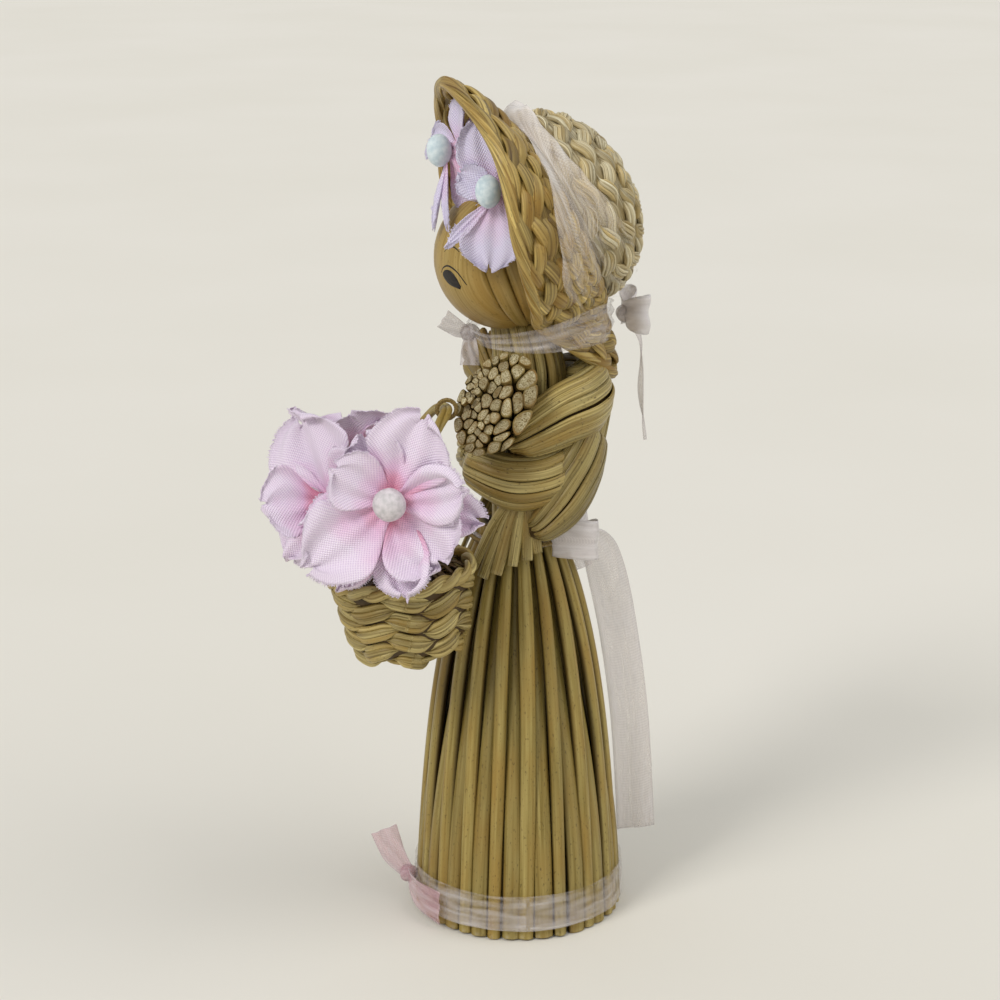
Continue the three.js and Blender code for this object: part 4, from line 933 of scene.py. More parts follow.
@dataclass
class Bodice:
    """Broad strands of flattened strips laid over each other round the chest."""

    waist_height: float = 71.0
    setback: float = 1.5
    ring: float = 9.65
    half_thickness: float = 3.15
    strip_thickness: float = 0.9
    tuck: float = 0.13
    tuck_depth: float = 2.6
    strand_points: int = 48
    peplum_strips: int = 6
    neck_stems: int = 18
    neck_reach: tuple[float, ...] = (4.2, 5.4, 5.9, 5.4, 4.2)
    neck_back: tuple[float, ...] = (0.0, 1.5, 1.5, 1.5, 0.0)
    neck_heights: tuple[float, ...] = (62.0, 78.0, 95.0, 102.0, 108.5)
    rng: Rng = seeded(21)
    strands: tuple[Strand, ...] = (
        Strand("shoulder", (
            Key(98, 26.6, 3.6, 1.2), Key(76, 25.0, 5.4, 1.8), Key(52, 23.8, 5.8, 1.5), Key(25, 22.4, 5.2, 0.6),
            Key(0, 19.8, 3.8, 0.0), Key(-24, 17.2, 2, 0.0)), 15, span=158.0),
        Strand("chest", (
            Key(-80, 13.8, 2.6, 1.6), Key(-48, 12.4, 3.9, 0.6), Key(-18, 11, 4.6, 0.0), Key(10, 11.6, 4.4, 0.0),
            Key(34, 13.2, 4.0, -0.3), Key(56, 14.6, 3.4, -1.2)), 9, 0.1),
        Strand("back", (
            Key(78, 20.0, 4.4, 1.4), Key(58, 15.0, 5.6, 1.6), Key(43, 10.6, 5.4, 1.1), Key(28, 6.8, 4.4, 0.7),
            Key(12, 3.9, 3.0, 0.5), Key(-4, 2.0, 1.4, 0.3)), 9, 0.4),
    )
    spine: Strand = Strand("spine", (
        Key(90, 27.4, 1.6, 0.8), Key(90, 23, 2.2, 1.7), Key(90, 16, 2.2, 0.6), Key(90, 9, 2.0, -0.9),
        Key(90, 4, 1.3, -2.9)), 5)

    def strand(self, strand: Strand, side: int) -> Sheaf:
        """Makes a strand: a dark core, painted shade between its strips, and strips over its outer face.

        Args:
            strand: its route and strips.
            side: 1 on the doll's left, -1 on its right.

        Returns:
            The strand's sheaf.
        """
        rng = self.rng
        keys, strips, steps = strand.keys, strand.strips, self.strand_points
        angle = np.radians([key.angle for key in keys])
        reach = np.array([self.ring + key.swell - strand.drop for key in keys])
        places = polar(reach, angle, [self.waist_height + key.height for key in keys]) * mirror(side)
        line = spline(places + np.array([0, self.setback, 0]), steps)
        half_width = spline([key.half_width for key in keys], steps)
        out = unit((line - np.array([0, self.setback, 0])) * LEVEL)
        tangent = unit(np.gradient(line, axis=0))
        out = unit(out - np.sum(out * tangent, 1, keepdims=True) * tangent)
        across = np.cross(tangent, out)
        run = np.linspace(0, 1, steps)
        ends = smooth((run - 1 + self.tuck) / self.tuck) + smooth((self.tuck - run) / self.tuck)
        line = line - out * (self.tuck_depth * ends)[:, None]
        half_width = half_width * (1 - 0.3 * ends)
        core = 1 - 0.96 * np.minimum(1.4 * ends, 1)
        sheaf = Sheaf()
        # The core shows between the strips as painted shade.
        sheaf.sweep(
            line, out, half_width * 0.88 * core, self.half_thickness * 0.84 * core, polygon(16),
            tone=0.4, finish=1)
        half = np.radians(strand.span)
        spots = np.linspace(-half, half, strips) + rng.uniform(-0.035, 0.035, strips)
        for j, spot in enumerate(spots):
            drift, twist = np.radians(rng.uniform(-2, 2)), np.radians(rng.uniform(-2.5, 2.5))
            turn = spot + (drift + twist * np.linspace(-1, 1, steps))
            x, y = np.sin(turn), np.cos(turn)
            lift = rng.uniform(-0.32, 0.24)
            sway, waves = np.radians(rng.uniform(2, 5)), rng.uniform(4, 9)
            turn = turn + sway * np.sin(np.linspace(0, waves, steps) + 3 * j)
            rise = (self.half_thickness + lift) * y
            middle = line + across * (half_width * x)[:, None] + out * rise[:, None]
            normal = across * (self.half_thickness * x)[:, None] + out * (half_width * y)[:, None]
            gap = 2 * half / (strips - 1)
            flat, tall = half_width * np.cos(turn), self.half_thickness * np.sin(turn)
            over = gap * np.sqrt(flat**2 + tall**2)
            # Painted shade: strips of a strand that lies under its neighbours are darker in proportion to how
            # far under it lies.
            sheaf.sweep(
                middle, unit(unit(normal) + across * rng.uniform(-0.16, 0.16)), over * rng.uniform(0.47, 0.6),
                self.strip_thickness / 2, STRIP, tone=rng.uniform(0.5, 1.0) - 1.1 * strand.drop,
                shift=own_grain(rng))
        return sheaf

    def peplum(self, side: int, skirt: Skirt) -> Sheaf:
        """Makes the fan of cut strip ends over the top of the skirt.

        Args:
            side: 1 on the doll's left, -1 on its right.
            skirt: the bell that they lie on.

        Returns:
            The fan's sheaf.
        """
        sheaf, rng = Sheaf(), self.rng
        for share in np.linspace(0, 1, self.peplum_strips):
            top = math.radians(-16 + 24 * share)
            foot = math.radians(-52 + 66 * share + rng.uniform(-2, 2))
            drop = -5.2 + 3.4 * share + rng.uniform(-1.5, 1.5)
            heights = np.array([8.0, 3.0, drop]) + self.waist_height
            angles = np.array([top, top * 0.5 + foot * 0.5, foot])
            outer = skirt.radius(heights[2]) + 1.0 + rng.uniform(0, 1.3)
            reach = np.array([9.4, max(9.6, float(skirt.radius(heights[1])) + 1.4), outer])
            line = spline(polar(reach, angles, heights) * mirror(side), 18)
            out = unit(line * LEVEL)
            sheaf.sweep(
                line, unit(out + np.array([0, rng.uniform(-0.5, 0.5), 0])),
                spline([0.8, 1.05, 1.1 * rng.uniform(0.8, 1.2)], 18), 0.45, STRIP,
                tone=rng.uniform(0.55, 1.0), shift=own_grain(rng), pith=1)
        return sheaf

    def neck(self) -> Sheaf:
        """Makes the stems of the body bundle, from inside the waist to the neck.

        Returns:
            The bundle's sheaf.
        """
        sheaf, rng = Sheaf(), self.rng
        for i in range(self.neck_stems):
            angle = 2 * np.pi * i / self.neck_stems + rng.uniform(-0.06, 0.06)
            reach = np.array(self.neck_reach) + rng.uniform(-0.2, 0.2)
            line = spline(polar(reach, angle, self.neck_heights) + np.outer(self.neck_back, [0, 1, 0]), 30)
            sheaf.sweep(
                line, unit(line * LEVEL), 0.95, 0.8, tone=rng.uniform(0.4, 0.9),
                shift=own_grain(rng))
        return sheaf

    def build(self, palette: Palette, skirt: Skirt) -> None:
        """Makes the strands, the fans of ends and the body bundle.

        Args:
            palette: the finishes.
            skirt: the bell under the bodice.
        """
        finishes = [palette.bodice, palette.under]
        for side, name in SIDES:
            for strand in self.strands:
                sheaf = self.strand(strand, side)
                sheaf.piece(f"{strand.name}_plait_{name}", finishes, Slot.RUSH, f"{strand.name}_strand_{name}")
            fan = self.peplum(side, skirt)
            fan.piece(f"peplum_fan_{name}", [palette.bodice, palette.pith], Slot.RUSH, f"peplum_{name}")
        self.strand(self.spine, 1).piece("spine_plait", finishes, Slot.RUSH, "spine_strand")
        self.neck().piece("neck_stems", [palette.bodice], Slot.RUSH, "body_bundle")


@dataclass
class Arm:
    """Flared bundle of stems, squeezed together, whose cut ends show."""

    side: int
    forward: float
    reach: float = 14.2
    root_radius: float = 4.0
    end_radius: float = 7.5
    root_out: float = 3.1
    root_height: float = 92.0
    end_height: float = 97.2
    dome: float = 2.2
    tall: float = 1.28
    slim: float = 0.86
    lean: float = 26.0
    stems: int = 62
    rng: Rng = seeded(8)

    def cells(self) -> list[Array]:
        """Packs the end's disc with stems.

        Returns:
            The outlines of the squeezed stems, on a disc of radius 1.
        """
        seats = self.rng.uniform(-1, 1, (12 * self.stems, 2))
        seats = seats[self.rng.uniform(0, 1, len(seats)) < 0.5 + 0.45 * seats[:, 0]]
        seats = seats[np.linalg.norm(seats, axis=1) < 0.98][: self.stems]
        for _ in range(2):
            outlines = [self.cell(seats, i) for i in range(len(seats))]
            seats = np.array([0.35 * seat + 0.65 * outline.mean(0) for seat, outline in zip(seats, outlines)])
        return [self.cell(seats, i) for i in range(len(seats))]

    @staticmethod
    def cell(seats: Array, number: int) -> Array:
        """Finds the part of a disc of radius 1 that is nearest to one seat.

        Args:
            seats: all seats.
            number: the seat's number.

        Returns:
            Its outline, as the ends of 20 rays.
        """
        seat = seats[number]
        rays = polygon(20)
        reach = -(rays @ seat) + np.sqrt(np.maximum((rays @ seat) ** 2 + 1 - seat @ seat, 1e-6))
        for k, other in enumerate(seats):
            if k == number:
                continue
            gap = other - seat
            facing = rays @ gap
            cut = np.where(facing > 1e-6, (gap @ gap) / 2 / np.maximum(facing, 1e-6), np.inf)
            reach = np.minimum(reach, cut)
        return seat + rays * reach[:, None]

    def build(self, palette: Palette, name: str) -> None:
        """Makes the bundle.

        Args:
            palette: the finishes.
            name: left or right.
        """
        root = np.array([self.side * self.root_out, -self.forward / 2, self.root_height])
        end = np.array([self.side * self.reach, -self.forward, self.end_height])
        axis = unit(end - root)
        across = unit(np.cross(axis, UP))
        up = np.cross(across, axis)
        squeeze = turn_z(self.lean)[:2, :2] @ np.diag([self.slim, self.tall])
        sheaf, rng = Sheaf(), self.rng
        for outline in self.cells():
            far = float(np.linalg.norm(outline.mean(0)))
            outline = outline @ squeeze.T
            middle = outline.mean(0)
            shape = (outline - middle) * rng.uniform(0.93, 1.0)
            rounded = (np.roll(shape, 1, 0) + np.roll(shape, -1, 0) + 2 * shape) / 4
            length = self.dome * (1 - far**2) + rng.uniform(-1.1, 0.9)
            share = np.array([0.0, 0.3, 0.6, 0.85, 0.97, 1.0])
            spread = self.root_radius + (self.end_radius - self.root_radius) * share
            spot = root + (end + axis * length - root) * share[:, None]
            line = spot + (across * middle[0] + up * middle[1]) * spread[:, None]
            size = spread * np.array([1, 1, 1, 1.01, 0.99, 0.93])
            sheaf.sweep(
                line, up, size, size, rounded,
                tone=rng.uniform(0.2, 1.0), shift=own_grain(rng), pith=1)
        sheaf.piece(f"arm_stems_{name}", [palette.bark, palette.pith], Slot.RUSH, f"{name}_arm")


@dataclass
class Head:
    """Ball of a head under leaves that meet at the nape, with painted eyes and brows."""

    radius: float = 12.4
    height: float = 119.8
    forward: float = 2.2
    turn: float = 9.0
    leaf_tilt: float = 20.0
    leaf_thickness: float = 0.45
    face_half_angle: float = 58.0
    side_leaves: tuple[float, ...] = (58.0, 74.5, 92.0, 111.0)
    seam: float = 1.3
    rng: Rng = seeded(4)
    eye_upper: Bend = ((13.0, -9.0), (18.5, -5.2), (25.5, -5.0), (31.5, -10.0), (36, -19.2))
    eye_lower: Bend = ((13.0, -9.0), (15.5, -12.6), (20.5, -16.2), (27.5, -18.0), (36, -19.2))
    lid: Bend = ((11.5, -8.4), (16.0, -3.6), (23.4, -1.4), (33.0, -5.2), (41.2, -14.4))
    brow: Bend = ((16.4, 8.6), (20.5, 12.4), (25.5, 13.9), (30.0, 13.2), (34.2, 11.0))

    def place(self) -> Place:
        """Returns the head's frame, turned to the doll's left."""
        return Place(np.zeros(3), turn_z(self.turn))

    def centre(self) -> Array:
        """Returns the ball's middle in the head's frame."""
        return np.array([0.0, -self.forward, self.height])

    def on_ball(self, longitude: Array, latitude: Array, radius: Array | float, tilt: float = 0.0) -> Array:
        """Finds places on the ball.

        Args:
            longitude: degrees from the face's middle to the doll's left.
            latitude: degrees up.
            radius: distance from the ball's middle.
            tilt: degrees that the poles lean forward.

        Returns:
            Points in the doll's frame.
        """
        lon, lat = np.broadcast_arrays(np.radians(longitude), np.radians(latitude))
        ray = np.stack([np.cos(lat) * np.sin(lon), -np.cos(lat) * np.cos(lon), np.sin(lat)], axis=-1)
        ray = ray @ turn_x(tilt).T
        return self.place().out(ray * np.asarray(radius)[..., None] + self.centre())

    def leaf(self, sheaf: Sheaf, start: float, end: float) -> None:
        """Adds a leaf from crown to nape between two longitudes.

        Args:
            sheaf: takes its mesh.
            start: longitude of one edge.
            end: longitude of the other.
        """
        columns, rows = max(9, int((end - start) / 4)), 34
        across = np.linspace(-1, 1, columns)
        latitude = np.linspace(86, -86, rows)[:, None]
        longitude = (start + end) / 2 + (end - start) / 2 * across
        dip = 0.42 * np.abs(across) ** 14
        radius = self.radius - 0.2 - dip + 0.08 * np.cos(2.2 * across)
        grid = self.on_ball(longitude, latitude, radius + 0 * latitude, self.leaf_tilt)
        sheaf.sheet(grid, self.leaf_thickness, tone=self.rng.uniform(0.75, 1.0), shift=own_grain(self.rng))

    def eyes(self, sheaf: Sheaf, side: int) -> None:
        """Adds one side's painted eye, lid line and brow.

        Args:
            sheaf: takes its mesh.
            side: 1 on the doll's left, -1 on its right.
        """
        skin = self.radius + 0.05
        upper, lower = spline(self.eye_upper, 15), spline(self.eye_lower, 15)
        share = np.linspace(0, 1, 6)[None, :, None]
        patch = (upper[:, None] * (1 - share) + lower[:, None] * share)[1:-1]
        sheaf.sheet(self.on_ball(side * patch[..., 0], patch[..., 1], skin), 0.12)
        for keys, width in ((self.lid, 0.16), (self.brow, 0.13)):
            bend = spline(keys, 22)
            line = self.on_ball(side * bend[:, 0], bend[:, 1], skin)
            middle = self.place().out(self.centre())
            taper = width * (0.35 + 0.65 * np.sin(np.linspace(0.15, np.pi - 0.15, 22)))
            sheaf.sweep(line, line - middle, taper, 0.06, polygon(8))

    def build(self, palette: Palette) -> None:
        """Makes the leaves and the painted face.

        Args:
            palette: the finishes.
        """
        face = Sheaf()
        self.leaf(face, -self.face_half_angle + self.seam / 2, self.face_half_angle - self.seam / 2)
        face.piece("face_skin", [palette.leaf], Slot.LEAF, "face_leaf")
        for side, name in SIDES:
            cheek = Sheaf()
            for start, end in zip(self.side_leaves, self.side_leaves[1:]):
                edges = sorted((side * (start + self.seam / 2), side * (end - self.seam / 2)))
                self.leaf(cheek, edges[0], edges[1])
            cheek.piece(f"cheek_skin_{name}", [palette.leaf], Slot.LEAF, f"cheek_leaf_{name}")
            paint = Sheaf()
            self.eyes(paint, side)
            paint.piece(f"painted_eye_{name}", [palette.paint], Slot.LEAF)


@dataclass(frozen=True)
class PlaitSize:
    """A flat plait: its odd number of strands, how often each crosses over, and how far it swings and rises."""

    strands: int
    turns: int
    half_span: float
    half_width: float
    half_thickness: float
    lift: float
    steps: int
    fibres: int = 1


@dataclass(frozen=True)
class WeaverSize:
    """A strand woven round hidden stakes: its width, how far it swings out and in, and how far it climbs."""

    half_width: float
    swing: float
    slant: float
    fibres: int
    alternate: bool = True
    half_thickness: float = 0.46
    beat_points: int = 26


def plait(sheaf: Sheaf, surface: Surface, size: PlaitSize, rng: Rng) -> None:
    """Adds a flat plait that runs round a surface and joins its own start.

    Args:
        sheaf: takes its mesh.
        surface: gives points from shares round, places across and heights.
        size: its sizes, with the swing in the surface's own measure.
        rng: source of the strands' tones.
    """
    fibres = size.fibres
    spots = np.linspace(-1, 1, fibres) * (1 - 1 / fibres) if fibres > 1 else np.zeros(1)
    share = np.arange(size.steps) / size.steps
    for k in range(size.strands):
        turn = 2 * np.pi * (size.turns * share + k / size.strands)
        swing = size.half_span * (np.arcsin(PLAIT_SHARPNESS * np.sin(turn)) / np.arcsin(PLAIT_SHARPNESS))
        over = np.sin((size.strands - 1) * turn)
        over = np.sign(over) * np.abs(over) ** 0.7
        line = surface(share, swing, size.lift * over)
        out = surface(share, swing, size.lift * over + 0.5) - line
        across = unit(np.cross(np.roll(line, -1, 0) - np.roll(line, 1, 0), out))
        width = size.half_width * (0.86 + 0.2 * over)
        tone = rng.uniform(0.4, 0.95)
        for spot in spots:
            sheaf.sweep(
                line + across * (spot * width)[:, None], out, width / fibres, size.half_thickness, STRIP_BOTH,
                closed=True, tone=tone + rng.uniform(-0.15, 0.15), shift=own_grain(rng))


def weaver(sheaf: Sheaf, surface: Surface, beats: int, row: int, size: WeaverSize, rng: Rng) -> None:
    """Adds a strand that goes over and under hidden stakes and joins its own start.

    Args:
        sheaf: takes its mesh.
        surface: gives points from shares round, places across and heights.
        beats: how often it comes to the outside on the way round.
        row: the row's number, which sets which stakes it passes outside.
        size: its sizes.
        rng: its small irregularities.
    """
    steps = size.beat_points * beats
    share = np.arange(steps) / steps
    beat = 2 * np.pi * beats * share + np.pi * row
    wobble = 0.25 * np.sin(2 * np.pi * share * 3 + rng.uniform(0, 6))
    wave = np.cos(beat + wobble)
    slant = -size.slant if size.alternate and row % 2 == 0 else size.slant
    across = slant * np.sin(beat + wobble)
    line = surface(share, across, size.swing * wave)
    out = unit(surface(share, across, size.swing * wave + 0.5) - line)
    side = unit(np.cross(np.roll(line, -1, 0) - np.roll(line, 1, 0), out))
    width = size.half_width * (0.2 + 0.8 * smooth((wave + 0.6) / 1.3))
    tone = rng.uniform(0.5, 0.85)
    for spot in (2 * np.arange(size.fibres) + 1 - size.fibres) / size.fibres:
        strand = line + side * (spot * width)[:, None] - out * (0.45 * spot**2)
        sheaf.sweep(
            strand, out, 1.12 * width / size.fibres, size.half_thickness, STRIP_BOTH, closed=True,
            tone=tone + rng.uniform(-0.35, 0.35), shift=own_grain(rng))


@dataclass
class Bonnet:
    """Woven crown, plaited brim with a rolled edge, and a sheer band gathered over the crown's foot."""

    head: Head
    crown_radius: float = 17.9
    crown_depth: float = 14.0
    inset: float = 0.9
    setback: float = 8.3
    rise: float = 7.6
    pitch: float = 28.0
    brim_root: float = 17.3
    brim_width: float = 13.3
    edge_keys: tuple[Point, ...] = (
        (0, 28.4, 6.5), (45, 26.8, 7.4), (80, 24.0, 12.4), (110, 20.8, 14.0), (137, 17.9, 13.6),
        (159, 23.4, 9.0), (180, 31.0, 4.4))
    veil_angles: tuple[float, ...] = (0, 25, 45, 70, 90, 115, 137, 155, 171)
    veil_front: tuple[float, ...] = (0.4, -1.8, -4.4, -7.2, -8.2, -7.0, -4.2, -0.8, 0.8)
    veil_back: tuple[float, ...] = (3.4, 2.8, 3.2, 4.4, 5.4, 6.8, 7.4, 5.6, 2.6)
    rows: tuple[tuple[float, int], ...] = (
        (1.2, 12), (3.5, 12), (5.8, 11), (8.1, 11), (10.4, 10), (12.7, 9), (18.6, 6), (20.9, 4), (23.0, 3))
    crown_strand: WeaverSize = WeaverSize(half_width=1.24, swing=0.66, slant=0.8, fibres=4)
    wreath: float = 15.6
    wreath_plait: PlaitSize = PlaitSize(
        strands=3, turns=6, half_span=1.25, half_width=1.0, half_thickness=0.5, lift=0.5, steps=520, fibres=3)
    brim_plaits: tuple[tuple[float, PlaitSize], ...] = (
        (-9.5, PlaitSize(
            strands=5, turns=4, half_span=2.8, half_width=1.25, half_thickness=0.5, lift=0.55, steps=720)),
        (-3.0, PlaitSize(
            strands=5, turns=6, half_span=2.3, half_width=1.08, half_thickness=0.45, lift=0.5, steps=720)),
    )
    edge_straws: int = 5
    edge_points: int = 360
    veil_cut: tuple[float, float] = (16.0, 125.0)
    veil_area: float = 1250.0
    veil_thickness: float = 0.12
    rng: Rng = seeded(31)

    def seat(self) -> Place:
        """Returns the bonnet's frame inside the head's: +Z back along the crown's axis, -Y the top."""
        origin = self.head.centre() + np.array([0, self.setback, self.rise])
        return Place(origin, turn_x(self.pitch - 90))

    def place(self) -> Place:
        """Returns the bonnet's frame in the doll's."""
        seat = self.seat()
        return self.head.place().inner(seat.origin, seat.turn)

    def edge(self, count: int) -> Array:
        """Draws the brim's free edge.

        Args:
            count: how many points.

        Returns:
            Points round it, from the top to the doll's left.
        """
        right = [(-angle, radius, reach) for angle, radius, reach in reversed(self.edge_keys[1:-1])]
        keys = [
            (radius * math.sin(math.radians(angle)), -radius * math.cos(math.radians(angle)), -reach)
            for angle, radius, reach in (*self.edge_keys, *right)
        ]
        return spline(keys, count, closed=True)

    def brim_at(self, share: Array, across: Array, height: Array) -> Array:
        """Finds places on the brim.

        Args:
            share: how far round, by the doll's left.
            across: -1 at the crown to 1 at the free edge.
            height: millimetres over the surface.

        Returns:
            Points in the doll's frame.
        """
        count = self.edge_points
        edge = self.edge(count)
        radial = unit(edge * LEVEL)
        root = radial * self.brim_root + np.array([0, 0, -1.0])
        flow = np.stack([-radial[:, 1], radial[:, 0], np.zeros(count)], axis=1)
        thick = unit(np.cross(unit(edge - root), flow))
        spot = np.mod(share, 1) * count
        low = spot.astype(int) % count
        rest = (spot - np.floor(spot))[..., None]
        root, edge, thick = (
            table[low] * (1 - rest) + table[(low + 1) % count] * rest for table in (root, edge, thick))
        reach = ((across + 1) / 2)[..., None]
        bulge = (1.2 * np.sin(np.pi * (across + 1) / 2) + height)[..., None]
        return self.place().out(root * (1 - reach) + edge * reach + thick * bulge)

    def dome_at(self, middle: float, share: Array, across: Array, height: Array) -> Array:
        """Finds places on the crown.

        Args:
            middle: distance from the crown's foot, over the dome, that counts as 0 across.
            share: how far round, by the doll's left.
            across: millimetres from there to the back.
            height: millimetres over the surface.

        Returns:
            Points in the doll's frame.
        """
        turn = np.linspace(0, np.pi / 2, 200)
        outline = np.stack([self.crown_radius * np.cos(turn), self.crown_depth * np.sin(turn)], 1)
        length = np.concatenate([[0], np.cumsum(np.linalg.norm(np.diff(outline, axis=0), axis=1))])
        bend = np.interp(middle + across, length, turn)
        normal = unit(np.stack([np.cos(bend) / self.crown_radius, np.sin(bend) / self.crown_depth], -1))
        radius = (self.crown_radius - self.inset) * np.cos(bend) + normal[..., 0] * height
        depth = (self.crown_depth - self.inset) * np.sin(bend) + normal[..., 1] * height
        angle = 2 * np.pi * share
        return self.place().out(np.stack([radius * np.sin(angle), -radius * np.cos(angle), depth], -1))

    def cap_at(self, middle: float, share: Array, across: Array, height: Array) -> Array:
        """Finds places on brim and crown as one surface.

        Args:
            middle: distance from the crown's foot that counts as 0 across.
            share: how far round, by the doll's left.
            across: millimetres from there to the back.
            height: millimetres over the surface.

        Returns:
            Points in the doll's frame.
        """
        reach = middle + across
        front = self.brim_at(share, -1 - 2 * np.minimum(reach, 0) / self.brim_width, height)
        part = smooth((reach + 1.5) / 3)[..., None]
        return front * (1 - part) + self.dome_at(0.0, share, np.maximum(reach, 0), height) * part

    def brim(self) -> Sheaf:
        """Makes the brim: a lining darkened as painted shade, two plaits and a rolled edge.

        Returns:
            The brim's sheaf.
        """
        sheaf = Sheaf()
        share, across = np.meshgrid(np.arange(160) / 160, np.linspace(-1, 0.98, 9), indexing="ij")
        # Painted shade: the lining is darker, seen between the plaits.
        sheaf.sheet(self.brim_at(share, across, 0 * share - 0.1), 0.3, tone=0.0, wrap=True)
        for middle, size in self.brim_plaits:
            plait(sheaf, partial(self.cap_at, middle), size, self.rng)
        share = np.arange(300) / 300
        for k in range(self.edge_straws):
            twist = 2 * np.pi * (6 * share + k / self.edge_straws) + 0.5 * np.sin(2 * np.pi * 3 * share + k)
            over, rise = 0.95 + 0.075 * np.cos(twist), 0.62 * np.sin(twist)
            line = self.brim_at(share, over, rise)
            out = self.brim_at(share, over + 0.06 * np.cos(twist), rise + 0.4 * np.sin(twist)) - line
            sheaf.sweep(
                line, out, 0.85, 0.42, STRIP_BOTH, closed=True, tone=self.rng.uniform(0.55, 1.0),
                shift=own_grain(self.rng))
        return sheaf

    def crown(self) -> Sheaf:
        """Makes the crown: a lining darkened as painted shade, woven rows and a plaited wreath near the back.

        Returns:
            The crown's sheaf.
        """
        sheaf = Sheaf()
        share, across = np.meshgrid(np.arange(72) / 72, np.linspace(0, 24.6, 20), indexing="ij")
        # Painted shade: the lining is darker, seen between the rows.
        sheaf.sheet(self.dome_at(0.0, share, across, 0 * share - 0.3), 0.4, tone=0.1, wrap=True)
        for row, (middle, beats) in enumerate(self.rows):
            weaver(sheaf, partial(self.dome_at, middle), beats, row, self.crown_strand, self.rng)
        plait(sheaf, partial(self.dome_at, self.wreath), self.wreath_plait, self.rng)
        coil = np.linspace(0, 1.6, 60)
        line = self.dome_at(24.0, coil, 1.2 * coil / 1.6 - 0.3, 0.2 + 0 * coil)
        sheaf.sweep(line, self.place().aim(UP), 0.9, 0.6, STRIP_BOTH, tone=0.8)
        return sheaf

    def band(self) -> Sheaf:
        """Makes the sheer band, gathered over the foot of the crown from nape to nape.

        Returns:
            The band's sheaf.
        """
        sheaf = Sheaf()
        rows, cols = 220, 30
        turn = np.linspace(-0.475, 0.475, rows)
        away = np.abs(turn) * 360
        front = np.interp(away, self.veil_angles, self.veil_front)
        back = np.interp(away, self.veil_angles, self.veil_back)
        across = np.linspace(0, 1, cols)
        reach = front[:, None] + (back - front)[:, None] * across
        reach = reach + 0.35 * np.sin(0.31 * away + 1.0)[:, None] * (across - 0.5)
        ripple = self.rng.uniform(0, 6, 5)
        fold = (
            0.4 * np.sin(reach * 1.1 + away[:, None] * 0.03 + ripple[0])
            + 0.26 * np.sin(reach * 1.9 - away[:, None] * 0.06 + ripple[1])
            + 0.24 * np.sin(away[:, None] * 0.11 + reach * 0.5 + ripple[2])
            + 0.14 * np.sin(away[:, None] * 0.17 - reach * 0.9 + ripple[3]))
        height = 1.55 + 0.8 * fold + 1.3 * np.exp(-((away[:, None] - 12) / 12) ** 2) * across ** 3
        share = np.repeat(turn[:, None], cols, 1)
        # Painted highlight: the veil is whiter and denser at the top, and thinner towards the nape.
        white = (1.2 * np.exp(-((away / 50) ** 2)) - 0.6 * smooth((away - 78) / 40))[:, None] + 0 * reach
        sheaf.sheet(self.cap_at(0.0, share, reach, height), self.veil_thickness, tone=0.5, fade=white)
        return sheaf

    def build(self, palette: Palette) -> None:
        """Makes the brim, the crown and the band.

        Args:
            palette: the finishes.
        """
        self.brim().piece("brim_plait", [palette.straw], Slot.STRAW, "bonnet_brim")
        self.crown().piece("crown_weave", [palette.pale_straw], Slot.STRAW, "bonnet_crown")
        veil = self.band().piece("crown_veil", [palette.veil], Slot.RIBBON, "crown_band")


def ribbon(
    sheaf: Sheaf, keys: Sequence, widths: Sequence[float], facing: Sequence, *, count: int = 40,
    columns: int = 11, wrinkle: float = 0.15, waves: float = 2.0, shift: float = 0.0, white: float = 0.0,
    finish: int = 0,
) -> None:
    """Adds a strip of sheer ribbon.

    Args:
        sheaf: takes its mesh.
        keys: points of its middle line.
        widths: its widths along that line.
        facing: where its face looks, once or at each key.
        count: points along it.
        columns: points across it.
        wrinkle: height of its lengthwise folds.
        waves: how many folds lie across it.
        shift: moves its folds and weave.
        white: how white and dense it is, 0 to 1: painted light, and how close its threads are.
        finish: number of its finish.
    """
    line = spline(keys, count)
    width = spline(widths, count)
    looks = np.asarray(facing, dtype=float)
    looks = np.repeat(looks[None], count, 0) if looks.ndim == 1 else spline(looks, count)
    tangent = unit(np.gradient(line, axis=0))
    across = unit(np.cross(looks, tangent))
    normal = np.cross(tangent, across)
    spot = np.linspace(-1, 1, columns)
    run = np.linspace(0, 1, count)[:, None]
    fold = wrinkle * np.sin(np.pi * waves * spot + 2.2 * np.sin(5 * run + shift) + shift)
    reach = width[:, None] / 2 * spot
    grid = line[:, None] + across[:, None] * reach[..., None] + normal[:, None] * fold[..., None]
    sheaf.sheet(grid, RIBBON_THICKNESS, shift=np.array([shift, 0, shift]), fade=white, finish=finish)


def knot(sheaf: Sheaf, centre: Array, radius: float, finish: int = 0) -> None:
    """Adds a small gathered knot of ribbon.

    Args:
        sheaf: takes its mesh.
        centre: its middle.
        radius: its radius.
        finish: number of its finish.
    """
    around = np.linspace(0, 2 * np.pi, 25)[:-1]
    up = np.linspace(0.04, np.pi - 0.04, 13)
    grid = ball(around, up)
    grid[..., :2] *= (1 + 0.16 * np.sin(5 * around)[:, None] * np.sin(up))[..., None]
    sheaf.sheet(centre + radius * grid, RIBBON_THICKNESS, wrap=True, finish=finish)


